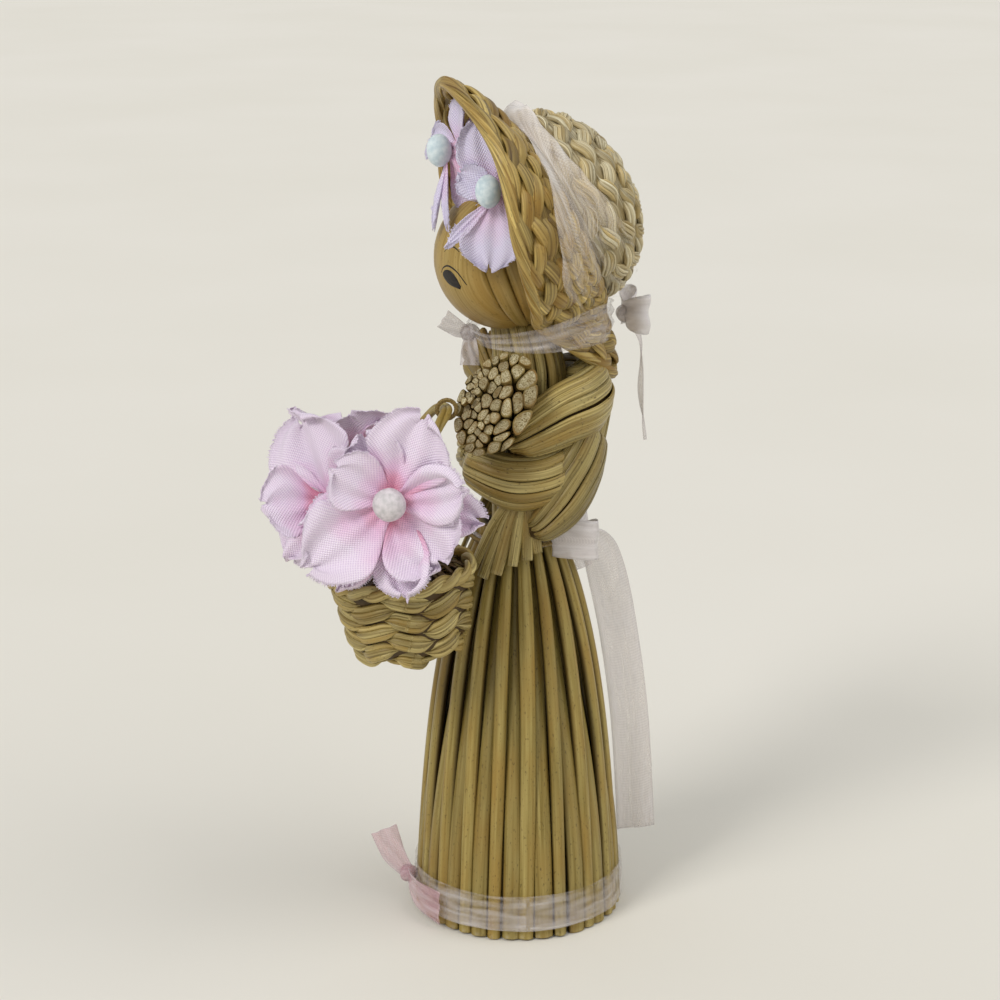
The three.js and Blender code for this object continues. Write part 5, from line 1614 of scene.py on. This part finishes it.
def bow_loop(
    sheaf: Sheaf, centre: Array, reach: Array, length: float, width: float, swell: float = 0.26,
    shift: float = 0.0, finish: int = 0,
) -> None:
    """Adds one loop of a bow.

    Args:
        sheaf: takes its mesh.
        centre: the bow's knot.
        reach: where the loop points.
        length: how far it reaches.
        width: the ribbon's width at the loop's end.
        swell: how far the loop opens, as a share of its length.
        shift: moves its folds and weave.
        finish: number of its finish.
    """
    side = unit(np.cross(UP, reach))
    turn = np.linspace(0, 2 * np.pi, 13)
    swing = swell * length * np.sin(turn) * np.sin(turn / 2) + 0.3 * np.cos(turn / 2)
    keys = centre + reach * (length * (1 - np.cos(turn)) / 2)[:, None] + side * swing[:, None]
    tangent = unit(np.gradient(keys, axis=0))
    # Painted light: the loops are painted near white and dense.
    ribbon(
        sheaf, keys, width * (0.42 + 0.58 * np.sin(turn / 2)), np.cross(tangent, UP), count=52, wrinkle=0.22,
        waves=1.6, shift=shift, white=1.0, finish=finish)


@dataclass
class Ribbons:
    """Sheer ribbons: round the hem, the waist and the chin, with their bows and ends."""

    width: float = 7.0
    hem_low: float = 2.2
    hem_high: float = 8.7
    waist_low: float = 69.8
    waist_high: float = 71.0
    knot_radius: float = 1.6
    nape_tail: float = 23.0

    def band(
        self, sheaf: Sheaf, skirt: Skirt, low: float, high: float, proud: float, fold: float, white: float
    ) -> None:
        """Adds a band round the skirt.

        Args:
            sheaf: takes its mesh.
            skirt: the bell under it.
            low: height of its lower edge.
            high: height of its upper edge.
            proud: how far it stands off the bell.
            fold: height of its ripples.
            white: how white and dense it is at the upper edge: painted light, and how close its threads are.
        """
        angle = np.linspace(0, 2 * np.pi, 181)[:-1]
        height = np.linspace(low, high, 13)
        ripple = fold * np.sin(7 * angle[:, None] + 3.0 * height / (high - low))
        ripple = ripple + 0.5 * fold * np.sin(19 * angle[:, None] + height)
        reach = skirt.radius(height) + proud + ripple
        grid = polar(reach, angle[:, None], height)
        # Painted sheen: the band is denser and whiter towards its lower edge.
        pale = white + 0.5 * (high - height) / (high - low) + 0 * reach
        sheaf.sheet(grid, RIBBON_THICKNESS, wrap=True, fade=pale)

    def hem(self, palette: Palette, skirt: Skirt) -> None:
        """Makes the hem ribbon with its knot and ends.

        Args:
            palette: the finishes.
            skirt: the bell under it.
        """
        sheaf = Sheaf()
        self.band(sheaf, skirt, self.hem_low, self.hem_high, 0.4, 0.1, -0.95)
        middle = (self.hem_low + self.hem_high) / 2
        front = float(skirt.radius(middle)) + 0.7
        tie = np.array([0.0, -front - 0.8, middle])
        knot(sheaf, tie, self.knot_radius, 1)
        ribbon(
            sheaf, [tie, (-0.5, tie[1] - 2.6, self.hem_high + 0.4), (-1.0, tie[1] - 4.4, self.hem_high + 5.2)],
            [2.4, 4.2, 5.0], (1, 0, 0), wrinkle=0.25, finish=1)
        lying = [tie] + [
            (x, -math.sqrt((front + 0.9) ** 2 - x**2), middle - drop)
            for x, drop in ((4.4, 0.6), (9.0, 1.0), (13.0, 1.2))]
        ribbon(
            sheaf, lying, [2.4, 4.6, 5.8, 6.4], [(0, -1, 0), (0.2, -1, 0), (0.45, -0.9, 0), (0.65, -0.76, 0)],
            wrinkle=0.15, finish=1)
        sheaf.piece("hem_band", [palette.organza, palette.blush], Slot.RIBBON, "hem_ribbon")

    def waist(self, palette: Palette, skirt: Skirt) -> None:
        """Makes the waist ribbon, its bow at the back and its long end.

        Args:
            palette: the finishes.
            skirt: the bell under it.
        """
        sheaf = Sheaf()
        self.band(sheaf, skirt, self.waist_low, self.waist_high, 0.3, 0.1, -0.55)
        middle = (self.waist_low + self.waist_high) / 2
        tie = np.array([0.0, float(skirt.radius(middle)) + 1.7, middle])
        knot(sheaf, tie, self.knot_radius)
        for side in (1, -1):
            self.waist_loop(sheaf, tie, side)
        end = [tie, (2.4, tie[1] + 1, middle - 3), (3.0, tie[1] + 2, middle - 6)]
        ribbon(sheaf, end, [1.6, 2.4, 3.0], (1, 0.2, 0))
        sheaf.piece("waist_bow", [palette.organza], Slot.RIBBON, "waist_ribbon")
        tail = Sheaf()
        drop = [
            (0.0, tie[1] + 1.0, middle - 2.2), (-0.1, tie[1] + 4.4, middle - 2.6),
            (-0.3, tie[1] + 6.4, middle - 8.0), (-1.2, float(skirt.radius(50.6)) + 4.3, 50.6),
            (-0.6, float(skirt.radius(34.1)) + 4.0, 34.1), (-1.2, float(skirt.radius(12.0)) + 3.8, 12.0)]
        ribbon(
            tail, drop, [2.4, 5.6, self.width, self.width, self.width, self.width], (1, 0, 0), count=90,
            wrinkle=0.2, waves=1.1, shift=1.0)
        tail.piece("waist_tail", [palette.organza], Slot.RIBBON, "waist_ribbon_tail")

    def waist_loop(self, sheaf: Sheaf, tie: Array, side: int) -> None:
        """Adds a loop of the waist bow, which lies round the waist and turns back past the knot.

        Args:
            sheaf: takes its mesh.
            tie: the bow's knot.
            side: 1 on the doll's left, -1 on its right.
        """
        keys = tie + np.array([
            (0, 0, 0), (4.0, -1.6, 0.5), (6.9, -4.6, 0.9), (8.4, -1.4, 0.9), (9.0, 3.0, 0.7), (5.4, 3.6, 0.5),
            (1.8, 1.8, 0.2), (0, 0, 0)]) * mirror(side)
        looks = np.array([
            (0.3, -1, 0), (0.6, -0.8, 0), (1, -0.6, 0), (1, -0.1, 0), (0.8, 0.6, 0), (-0.1, 1, 0), (-0.4, 1, 0),
            (-0.4, 1, 0)]) * mirror(side)
        # Painted light: the loops are painted lighter and denser than the band.
        ribbon(
            sheaf, keys, [2.0, 4.4, 6.4, self.width, self.width, 6.2, 3.6, 2.0], looks * side, count=70,
            columns=15, wrinkle=0.12, waves=1.4, shift=1.0 + side, white=0.6)

    def chin(self, palette: Palette, bonnet: Bonnet) -> None:
        """Makes the chin ribbon and the nape bow.

        Args:
            palette: the finishes.
            bonnet: the bonnet that it ties.
        """
        head = bonnet.head
        place, local = head.place(), bonnet.seat()
        nape = local.out(np.array([0, bonnet.brim_root, 0])) + np.array([0, 2.7, -3.4])
        angle, radius, reach = bonnet.edge_keys[4]
        cheek = local.out(np.array([
            radius * math.sin(math.radians(angle)), -radius * math.cos(math.radians(angle)), -reach]))
        chin_height = head.height - head.radius - 0.6
        front = np.array([0.0, -head.forward - 6.6, chin_height])
        left = [
            front, (cheek[0] * 0.62, front[1] + 2, chin_height - 0.1),
            (cheek[0] + 2.8, cheek[1] + 0.4, chin_height + 1.3),
            (cheek[0] + 1.8, cheek[1] + 10.6, nape[2] + 1.4)]
        sheaf = Sheaf()
        for side in (1, -1):
            keys = np.array([*left, nape]) * mirror(side)
            looks = unit((keys - np.array([0, 3.5, 0])) * LEVEL)
            ribbon(
                sheaf, place.out(keys), [1.4, 2.3, 4.4, 6.6, 5.0], place.aim(looks), count=60, columns=15,
                wrinkle=0.3, waves=2.4, shift=0.6 * side, white=-0.8)
        knot(sheaf, place.out(front), self.knot_radius)
        for middle, tip, looks in (
            ((1.0, -2.2, 1.0), (1.4, -5.0, 3.0), (1.0, 0.0, 0.0)),
            ((2.4, -0.6, -2.0), (3.0, -0.8, -5.0), (1.0, -0.4, 0.0)),
        ):
            end = np.array([front, front + middle, front + tip])
            ribbon(sheaf, place.out(end), [1.6, 2.8, 3.4], place.aim(np.array(looks)), wrinkle=0.25)
        sheaf.piece("chin_band", [palette.organza], Slot.RIBBON, "chin_ribbon")
        bow = Sheaf()
        tie = nape + np.array([0, 2.3, 0])
        knot(bow, place.out(tie), self.knot_radius)
        for side in (1, -1):
            way = place.aim(unit(np.array([side * 0.9, 0.42, 0.1])))
            bow_loop(bow, place.out(tie), way, 5.6, self.width, shift=side)
        drop = self.nape_tail
        tail = tie + np.array([(0, 0, 0), (0.6, 2.6, -5), (0.8, 2.8, -drop * 0.6), (0.2, 4, -drop)])
        looks = place.aim(np.array([(1, 0, 0), (0.6, 0.8, 0), (-0.4, 0.9, 0), (1, 0.2, 0)]))
        ribbon(bow, place.out(tail), [1.4, 1.5, 1.5, 0.6], looks, count=60, columns=5, wrinkle=0.1)
        bow.piece("nape_loops", [palette.organza], Slot.RIBBON, "nape_bow")


@dataclass(frozen=True)
class Petal:
    """One petal: its direction seen from the front, its size and how it bends."""

    angle: float
    length: float
    width: float
    lift: float
    cup: float = 0.25
    curl: float = 0.0
    ruffle: float = 0.4
    back: float = 0.0
    heart: float = 0.0

    def area(self) -> float:
        """Returns the area inside the petal's outline."""
        return PETAL_FULLNESS * self.width * self.length


@dataclass(frozen=True)
class Posy:
    """What neighbouring blossoms share: their frame, body, holder and finishes, and the shape of their pips."""

    place: Place
    body: Body
    holder: str
    petal: Material
    pip: Material
    bark: Material
    pip_size: float
    stretch: float


@dataclass
class Blossom:
    """Cloth blossom: frayed petals round a pip, on a stalk."""

    name: str
    centre: Point
    facing: Point
    petals: tuple[Petal, ...]
    pip: Point
    foot: Point
    seed: int = 1
    gather: float = 1.38
    stalk_radius: float = 0.6
    cloth: float = 0.14
    shoulder: float = 0.62

    def petal(self, sheaf: Sheaf, petal: Petal, place: Place, rng: Rng) -> None:
        """Adds a petal with its frayed edge.

        Args:
            sheaf: takes its mesh.
            petal: its size and bend.
            place: the frame that the blossom's own values are in.
            rng: source of its ruffles and loose threads.
        """
        rows, cols = 26, 27
        along = np.sin(np.linspace(0, np.pi / 2, rows))
        spot = np.linspace(-1, 1, cols)
        body = 0.24 + 0.76 * smooth(along / self.shoulder)
        tip = np.sqrt(np.clip(1 - (np.clip(along - self.shoulder, 0, 1) / 0.385) ** 2, 0.015, 1))
        half = petal.width / 2 * body * tip
        x = half[:, None] * spot
        ruffle = rng.uniform(0, 6, 3)
        x = x * (1 + 0.07 * np.sin(9 * along + ruffle[0]) * along)[:, None]
        y = petal.length * along[:, None] * (
            1 + (0.05 * np.sin(4.2 * spot + ruffle[1]) + 0.018 * np.sin(14 * spot)) * along[:, None])
        z = petal.cup * x**2 / max(petal.width / 2, 1)
        z = z + petal.curl * petal.length * along[:, None] ** 3
        bend = petal.ruffle * min(1.0, petal.width / 9)
        z = z + bend * along[:, None] ** 2 * (
            np.sin(2.6 * spot + ruffle[0]) + 0.6 * np.sin(5.5 * spot + 3 * along[:, None] + ruffle[1]))
        z = z + (0.2 * bend + 1.5 * bend * along[:, None]) * (1 - 0.6 * along[:, None]) * np.sin(
            8.5 * spot + ruffle[2])
        edge = np.zeros((rows, cols))
        edge[:, 0] = edge[:, -1] = edge[-1] = 1
        notch = rng.uniform(-0.08, 0.08, (rows, cols)) * edge * (along[:, None] > 0.3)
        x, y = x + notch * np.sign(spot), y + notch * (along[:, None] > 0.8)
        lift = math.radians(petal.lift)
        y, z = y * math.cos(lift) - z * math.sin(lift), y * math.sin(lift) + z * math.cos(lift)
        ahead = unit(np.array(self.facing))
        up = unit(UP - ahead * (UP @ ahead))
        right = np.cross(up, ahead)
        turn = math.radians(petal.angle)
        way = math.cos(turn) * right + math.sin(turn) * up
        side = -math.sin(turn) * right + math.cos(turn) * up
        seat = np.array(self.centre) - petal.back * ahead
        grid = place.out(seat + x[..., None] * side + y[..., None] * way + z[..., None] * ahead)
        deep = np.broadcast_to(along[:, None] - petal.heart, (rows, cols))
        sheaf.sheet(grid, self.cloth, fade=deep, shift=rng.uniform(-50, 50, 3))
        self.fringe(sheaf, grid, rng)

    @staticmethod
    def fringe(sheaf: Sheaf, grid: Array, rng: Rng) -> None:
        """Adds loose threads along a petal's free edge.

        Args:
            sheaf: the mesh that takes them.
            grid: the petal's points.
            rng: source of the threads' places and ways.
        """
        rows = len(grid)
        for i in range(rows // 2, rows):
            for column, inner in ((0, 1), (-1, -2)):
                for _ in range(7):
                    j = min(i + 1, rows - 1)
                    share = rng.uniform(0, 1)
                    foot = grid[i, column] * (1 - share) + grid[j, column] * share
                    away = unit(grid[i, column] - grid[i, inner]) + rng.normal(0, 0.25, 3)
                    tip = foot + unit(away) * rng.uniform(0.15, 0.5)
                    line = np.stack([foot, (foot + tip) / 2 + rng.normal(0, 0.05, 3), tip])
                    sheaf.sweep(line, UP, 0.05, 0.05, polygon(4), fade=1.0)

    def seed_pip(self, place: Place, size: float, stretch: float) -> Sheaf:
        """Makes the pip: a slightly uneven egg.

        Args:
            place: the frame that the blossom's own values are in.
            size: its radius.
            stretch: its half height, as a share of the radius.

        Returns:
            The pip's sheaf.
        """
        around = np.linspace(0, 2 * np.pi, 33)[:-1]
        up = np.linspace(0.03, np.pi - 0.03, 21)
        dent = 1 + 0.02 * np.sin(3 * around)[:, None] * np.sin(2 * up)
        egg = np.array(self.pip) + size * ball(around, up, stretch) * dent[..., None]
        sheaf = Sheaf()
        sheaf.sheet(place.out(egg), 0.1, wrap=True)
        return sheaf

    def stalk(self, place: Place) -> Sheaf:
        """Makes the stalk, from behind the petals down to its foot.

        Args:
            place: the frame that the blossom's own values are in.

        Returns:
            The stalk's sheaf.
        """
        top, foot = np.array(self.centre), np.array(self.foot)
        bend = top - 0.4 * np.linalg.norm(top - foot) * unit(np.array(self.facing))
        share = np.linspace(0, 1, 20)[:, None]
        line = (1 - share) ** 2 * top + 2 * share * (1 - share) * bend + share**2 * foot
        sheaf = Sheaf()
        sheaf.sweep(place.out(line), place.aim(np.array([0.3, 0.2, 1.0])), self.stalk_radius, self.stalk_radius)
        return sheaf

    def build(self, posy: Posy, spot: str) -> None:
        """Makes the petals, the pip and the stalk.

        Args:
            posy: what it shares with the blossoms beside it.
            spot: its place among them, as its nodes name it.
        """
        rng = np.random.default_rng(self.seed)
        pip_node = f"{posy.holder}_pip_{spot}"
        sheaf = Sheaf()
        for petal in self.petals:
            self.petal(sheaf, petal, posy.place, rng)
        made = sheaf.piece(
            f"{self.name}_petals", [posy.petal], Slot.PETAL, f"{posy.holder}_blossom_{spot}", body=posy.body)
        area = self.gather * sum(petal.area() for petal in self.petals)
        pip = self.seed_pip(posy.place, posy.pip_size, posy.stretch)
        pip.piece(f"{self.name}_pip", [posy.pip], Slot.PIP, pip_node, body=posy.body)
        self.stalk(posy.place).piece(f"{self.name}_stalk", [posy.bark], Slot.RUSH, body=posy.body)


@dataclass
class Basket:
    """Woven bowl with a hoop handle, tied under the left arm."""

    origin: Point = (14.166, -20.231, 54.4)
    tilt: float = 6.0
    height: float = 14.6
    foot_radius: float = 10.2
    rim_radius: float = 12.7
    inset: float = 0.95
    stakes: int = 10
    rows: int = 7
    hoop_top: Point = (0.0, 10.82, 41.28)
    hoop_foot: float = 11.9
    hoop_bend: tuple[Point, ...] = ((1.0, 0.0, 0.0), (0.99, 0.1, 0.35), (0.86, 0.42, 0.7), (0.5, 0.8, 0.94))
    wall_strand: WeaverSize = WeaverSize(half_width=1.52, swing=0.7, slant=0.75, fibres=3)
    foot_strand: WeaverSize = WeaverSize(half_width=1.2, swing=0.45, slant=0.3, fibres=2, alternate=False)
    foot_rings: tuple[float, ...] = (7.6, 5.4, 3.2, 1.4)
    foot_beats: int = 3
    grass_blades: int = 90
    rng: Rng = seeded(41)

    def place(self) -> Place:
        """Returns the basket's frame."""
        return Place(np.array(self.origin), turn_x(self.tilt))

    def radius(self, height: Array | float) -> Array:
        """Finds the wall's outer radius.

        Args:
            height: height over the foot.

        Returns:
            The radius there.
        """
        share = np.clip(np.asarray(height) / self.height, 0, 1)
        rounded = 1 - 0.2 * np.clip(1 - share / 0.22, 0, 1) ** 2
        return (self.foot_radius + (self.rim_radius - self.foot_radius) * share) * rounded

    def wall_at(self, middle: float, share: Array, across: Array, height: Array) -> Array:
        """Returns places on the wall, by millimetres up from a middle height and millimetres out."""
        level = middle + across
        return self.place().out(polar(self.radius(level) - self.inset + height, 2 * np.pi * share, level))

    def foot_at(self, middle: float, share: Array, across: Array, height: Array) -> Array:
        """Returns places under the foot, by millimetres out from a middle ring and millimetres down."""
        return self.place().out(polar(middle + across, 2 * np.pi * share, 0.9 - height))

    def bowl(self) -> Sheaf:
        """Makes the bowl: rows of strand round hidden stakes, a woven foot and a twisted rim.

        Returns:
            The bowl's sheaf.
        """
        sheaf, place = Sheaf(), self.place()
        pitch = (self.height - 1.4) / self.rows
        for row in range(self.rows):
            wall = partial(self.wall_at, 1.0 + pitch * row)
            weaver(sheaf, wall, self.stakes // 2, row, self.wall_strand, self.rng)
        for row, reach in enumerate(self.foot_rings):
            weaver(sheaf, partial(self.foot_at, reach), self.foot_beats, row, self.foot_strand, self.rng)
        angle = np.linspace(0, 2 * np.pi, 97)[:-1]
        level = np.concatenate([np.full(4, 1.2), np.linspace(1.6, self.height - 0.6, 10)])
        reach = np.concatenate([np.linspace(0.2, 8.0, 4), self.radius(level[4:]) - 1.15])
        # Painted shade: a dark lining of shaded rush shows through the gaps of the weave.
        sheaf.sheet(place.out(polar(reach, angle[:, None], level)), 0.4, wrap=True, finish=1)
        share = np.arange(200) / 200
        angle = 2 * np.pi * share
        for k in range(2):
            twist = 2 * np.pi * (9 * share + k / 2)
            reach = self.rim_radius - 0.85 + 0.55 * np.cos(twist)
            line = polar(reach, angle, self.height - 0.4 + 0.55 * np.sin(twist))
            sheaf.sweep(
                place.out(line), place.aim(polar(1.0, angle, 0.0)), 0.95, 0.55, STRIP_BOTH, closed=True,
                tone=0.85, shift=30.0 * k)
        return sheaf

    def handle(self) -> Sheaf:
        """Makes the hoop handle of two stems laid together.

        Returns:
            The handle's sheaf.
        """
        top = np.array(self.hoop_top)
        foot = self.height + 0.3

        def leg(side: int) -> list[Point]:
            """Returns one side of the hoop, from the rim up."""
            rise = top[2] - foot
            return [(side * self.hoop_foot * x, top[1] * y, foot + rise * z) for x, y, z in self.hoop_bend]

        line = spline([*leg(-1), tuple(top), *leg(1)[::-1]], 80)
        sheaf, place = Sheaf(), self.place()
        way = unit(np.gradient(line, axis=0))
        out = np.broadcast_to(np.array([0.0, -1.0, 0.0]), line.shape)
        across = np.cross(way, out)
        turn = np.linspace(0, 3 * np.pi, 80)[:, None]
        for k in (0, 1):
            offset = 0.42 * (across * np.cos(turn + np.pi * k) + out * np.sin(turn + np.pi * k))
            sheaf.sweep(
                place.out(line + offset), place.aim(out), 0.6, 0.55, tone=self.rng.uniform(0.6, 1.0),
                shift=own_grain(self.rng))
        return sheaf

    def filler(self) -> Sheaf:
        """Makes the dry grass that fills the bowl.

        Returns:
            The grass's sheaf.
        """
        sheaf, place, rng = Sheaf(), self.place(), self.rng
        for _ in range(self.grass_blades):
            angle, reach = rng.uniform(0, 2 * np.pi), 9.0 * math.sqrt(rng.uniform(0, 1))
            spot = np.array([
                reach * math.cos(angle), reach * math.sin(angle), self.height + 2.2 * (1 - (reach / 10) ** 2)])
            way = unit(np.append(rng.normal(0, 1, 2), 0.0))
            dip = np.array([0, 0, 1.2])
            keys = [spot - 2.6 * way - dip, spot + rng.normal(0, 0.3, 3), spot + 2.6 * way - dip]
            sheaf.sweep(
                place.out(spline(keys, 9)), UP, 0.45, 0.25, STRIP, tone=rng.uniform(0.2, 0.8),
                shift=own_grain(rng))
        return sheaf

    def build(self, palette: Palette) -> None:
        """Makes the bowl, its filler and its handle.

        Args:
            palette: the finishes.
        """
        body = Body.BASKET
        bowl, handle, grass = self.bowl(), self.handle(), self.filler()
        bowl.piece("bowl_weave", [palette.bowl, palette.under], Slot.STRAW, "basket_bowl", body=body)
        handle.piece("hoop_stems", [palette.skirt], Slot.RUSH, "basket_handle", body=body)
        # The grass takes the shaded rush: painted shade.
        grass.piece("dry_grass", [palette.under], Slot.RUSH, "basket_filler", body=body)


BASKET_BLOSSOMS = (
    Blossom(
        "near_blossom", (11.6, -0.4, 30.0), (0.95, -0.2, 0.12),
        (
            Petal(8, 13.4, 10.8, 16, 0.2, 0.03, 0.6), Petal(-54, 13.0, 15.5, 8, 0.2, 0.02, 0.8, heart=0.12),
            Petal(-148, 17.4, 14.5, 14, 0.3, -0.05, 0.5), Petal(140, 11.5, 10.5, 20, 0.3, 0.02, 0.4),
            Petal(63, 15.6, 14.5, 12, 0.25, -0.04, 0.6), Petal(108, 12.0, 11.0, 10, 0.3, 0.0, 0.6, 1.2, 0.1),
            Petal(-18, 14.6, 9.5, 2, 0.3, 0.0, 0.7, 1.6, 0.3),
            Petal(-86, 15.6, 10.5, 0, 0.3, 0.22, 0.6, 0.6, 0.2),
            Petal(-128, 17.6, 8.0, 2, 0.3, 0.0, 0.7, 1.8, 0.3),
            Petal(-170, 15.6, 8.0, 4, 0.3, 0.0, 0.7, 1.8, 0.3),
        ),
        (14.6, -1.0, 30.4), (4.0, 0.0, 15.8), 51),
    Blossom(
        "far_blossom", (1.6, -10.0, 28.4), (0.72, -0.6, 0.34),
        (
            Petal(116, 15.0, 18.0, 10, 0.18, 0.0, 0.8, heart=-0.15), Petal(172, 12.5, 10.0, 8, 0.3, 0.0, 0.6),
            Petal(-128, 13.0, 11.0, 6, 0.3, 0.0, 0.6, 0.6, 0.2),
            Petal(196, 10.5, 12.0, 58, 0.3, 0.0, 0.4, -2.6, 0.1),
            Petal(38, 11.0, 11.0, 20, 0.3, 0.0, 0.6), Petal(-62, 11.5, 11.0, 10, 0.3, 0.0, 0.6, heart=0.2),
        ),
        (1.5, -14.0, 28.6), (0.0, -4.0, 15.8), 52),
    Blossom(
        "top_blossom", (-4.6, -4.4, 32.0), (-0.4, 0.1, 0.9),
        (
            Petal(90, 12.0, 14.5, 38, 0.3, 0.0, 0.6, heart=0.25), Petal(4, 15.5, 6.5, 41, 0.3, 0.0, 0.5),
            Petal(22, 11.6, 11.0, 34, 0.3, 0.0, 0.6, heart=0.2),
            Petal(158, 11.6, 11.0, 34, 0.3, 0.0, 0.6, heart=0.2),
            Petal(-128, 11.6, 11.0, 24, 0.3, 0.0, 0.6), Petal(-56, 11.6, 11.0, 24, 0.3, 0.0, 0.6),
        ),
        (-5.8, -4.0, 34.6), (-3.0, 2.0, 15.9), 53),
)
BONNET_BLOSSOMS = (
    Blossom(
        "brow_blossom", (-2.0, -10.0, 137.4), (0.12, -0.95, 0.28),
        (
            Petal(46, 10.5, 9.5, -26, 0.2, 0.0, 0.4, -1.6, 0.25),
            Petal(2, 9.5, 10.5, -34, 0.2, 0.0, 0.4, -2.0, 0.25),
            Petal(-42, 10.5, 9.5, -26, 0.2, 0.0, 0.4, -1.6, 0.25), Petal(88, 9.0, 7.0, 14, 0.3, 0.0, 0.3),
            Petal(-80, 13.0, 2.2, 0, 0.4, 0.0, 0.5, -2.0), Petal(-66, 13.4, 2.4, -6, 0.4, 0.0, 0.5, -2.4),
            Petal(172, 8.6, 7.0, 16, 0.3, 0.0, 0.3),
        ),
        (-1.4, -13.6, 138.0), (-1.5, -3.4, 131.6), 61),
    Blossom(
        "temple_blossom", (11.6, -7.2, 132.0), (0.86, -0.48, 0.16),
        (
            Petal(106, 12.0, 9.0, 8, 0.2, 0.0, 0.4), Petal(52, 8.0, 6.0, 2, 0.3, 0.0, 0.3),
            Petal(-92, 11.8, 9.8, 3, 0.3, 0.0, 0.4), Petal(-132, 11.4, 2.2, 10, 0.5, 0.0, 0.6),
            Petal(150, 7.0, 6.0, 12, 0.3, 0.0, 0.3),
        ),
        (13.0, -8.9, 133.0), (7.6, -5.6, 128.6), 62),
)


@dataclass(frozen=True)
class Lamp:
    """A soft lamp: its strength, then its spread, lean from upright and turn from the camera, in degrees."""

    name: str
    strength: float
    spread: float
    lean: float
    aside: float


@dataclass
class Studio:
    """Pale floor, soft light and the camera at the photograph's angle."""

    azimuth: float = 84.0
    tip: float = 16.3
    distance: float = 389.0
    aside: float = -3.3
    height: float = 190.0
    focal: float = 2300.0
    image: float = 1000.0
    sensor: float = 36.0
    floor_half: float = 6.0
    room_light: float = 0.52
    room_colour: Colour = (0.96, 0.98, 1.0, 1.0)
    lamp_colour: Point = (1.0, 0.985, 0.97)
    lamps: tuple[Lamp, ...] = (Lamp("window", 1.4, 22, 50, -44), Lamp("reflector", 0.85, 50, 38, 70))

    def camera(self) -> None:
        """Sets the camera."""
        a, t = math.radians(self.azimuth), math.radians(self.tip)
        data = bpy.data.cameras.new("view")
        data.sensor_width = self.sensor
        data.lens = self.focal * self.sensor / self.image
        data.clip_end = 100.0
        view = bpy.data.objects.new("view", data)
        bpy.context.scene.collection.objects.link(view)
        view.location = np.array([
            self.distance * math.sin(a) + self.aside * math.cos(a),
            -self.distance * math.cos(a) + self.aside * math.sin(a), self.height]) * MM
        view.rotation_euler = (math.pi / 2 - t, 0.0, a)
        bpy.context.scene.camera = view

    def floor(self) -> None:
        """Lays the floor."""
        desk = Desk("pale_floor")
        place = desk.node("TexCoord").outputs["Object"]
        cloud = desk.noise(place, (6.0, 6.0, 6.0), 4.0)
        pale = desk.ramp(cloud, (0.3, shade(225, 221, 210)), (0.7, shade(228, 224, 214)))
        desk.set(Base_Color=pale, Roughness=0.85, Specular_IOR_Level=0.15)
        half = self.floor_half
        mesh = bpy.data.meshes.new("floor")
        corners = [(half * x, half * y, 0) for x, y in ((-1, -1), (1, -1), (1, 1), (-1, 1))]
        mesh.from_pydata(corners, [], [(0, 1, 2, 3)])
        mesh.materials.append(desk.material)
        floor = bpy.data.objects.new("floor", mesh)
        bpy.context.scene.collection.objects.link(floor)

    def lights(self) -> None:
        """Hangs a soft lamp over the camera's left shoulder and a weak one to its right, in even room light."""
        for lamp in self.lamps:
            data = bpy.data.lights.new(lamp.name, "SUN")
            data.energy = lamp.strength
            data.angle = math.radians(lamp.spread)
            data.color = self.lamp_colour
            holder = bpy.data.objects.new(lamp.name, data)
            holder.rotation_euler = (math.radians(lamp.lean), 0.0, math.radians(self.azimuth + lamp.aside))
            bpy.context.scene.collection.objects.link(holder)
        world = bpy.data.worlds.new("room")
        world.use_nodes = True
        sky = world.node_tree.nodes["Background"].inputs
        sky["Color"].default_value = self.room_colour
        sky["Strength"].default_value = self.room_light
        bpy.context.scene.world = world

    def build(self) -> None:
        """Sets the camera, floor and lights."""
        self.camera()
        self.floor()
        self.lights()
        bpy.context.scene.view_settings.view_transform = "Standard"


def carry_over(palette: Palette) -> None:
    """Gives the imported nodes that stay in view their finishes.

    Args:
        palette: the finishes.
    """
    finishes = {
        "base_disc": palette.card, "waist_thread": palette.thread, "handle_tie": palette.thread,
        "head_ball": palette.wadding, "crown_wadding": palette.wadding,
    }
    for name, finish in finishes.items():
        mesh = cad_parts[name].data
        mesh.materials.clear()
        mesh.materials.append(finish)
        LOG.info("%s keeps its solid", name)


def main() -> None:
    """Builds the studio and every sub-assembly in order."""
    logging.basicConfig(level=logging.INFO, format="%(name)s: %(message)s")
    studio, palette = Studio(), Palette()
    studio.build()
    skirt, head, basket = Skirt(), Head(), Basket()
    bonnet = Bonnet(head)
    skirt.build(palette)
    Bodice().build(palette, skirt)
    Arm(1, 5.4).build(palette, "left")
    Arm(-1, 2.0, rng=np.random.default_rng(9)).build(palette, "right")
    head.build(palette)
    bonnet.build(palette)
    ribbons = Ribbons()
    ribbons.hem(palette, skirt)
    ribbons.waist(palette, skirt)
    ribbons.chin(palette, bonnet)
    basket.build(palette)
    posy = Posy(
        basket.place(), Body.BASKET, "basket", palette.petal, palette.pip, palette.bark,
        pip_size=2.7, stretch=1.0)
    for blossom, spot in zip(BASKET_BLOSSOMS, ("left", "front", "top")):
        blossom.build(posy, spot)
    posy = Posy(
        head.place(), Body.DOLL, "bonnet", palette.hat_petal, palette.egg, palette.bark,
        pip_size=2.1, stretch=1.3)
    for blossom, spot in zip(BONNET_BLOSSOMS, ("front", "side")):
        blossom.build(posy, spot)
    carry_over(palette)


if __name__ == "__main__":
    main()
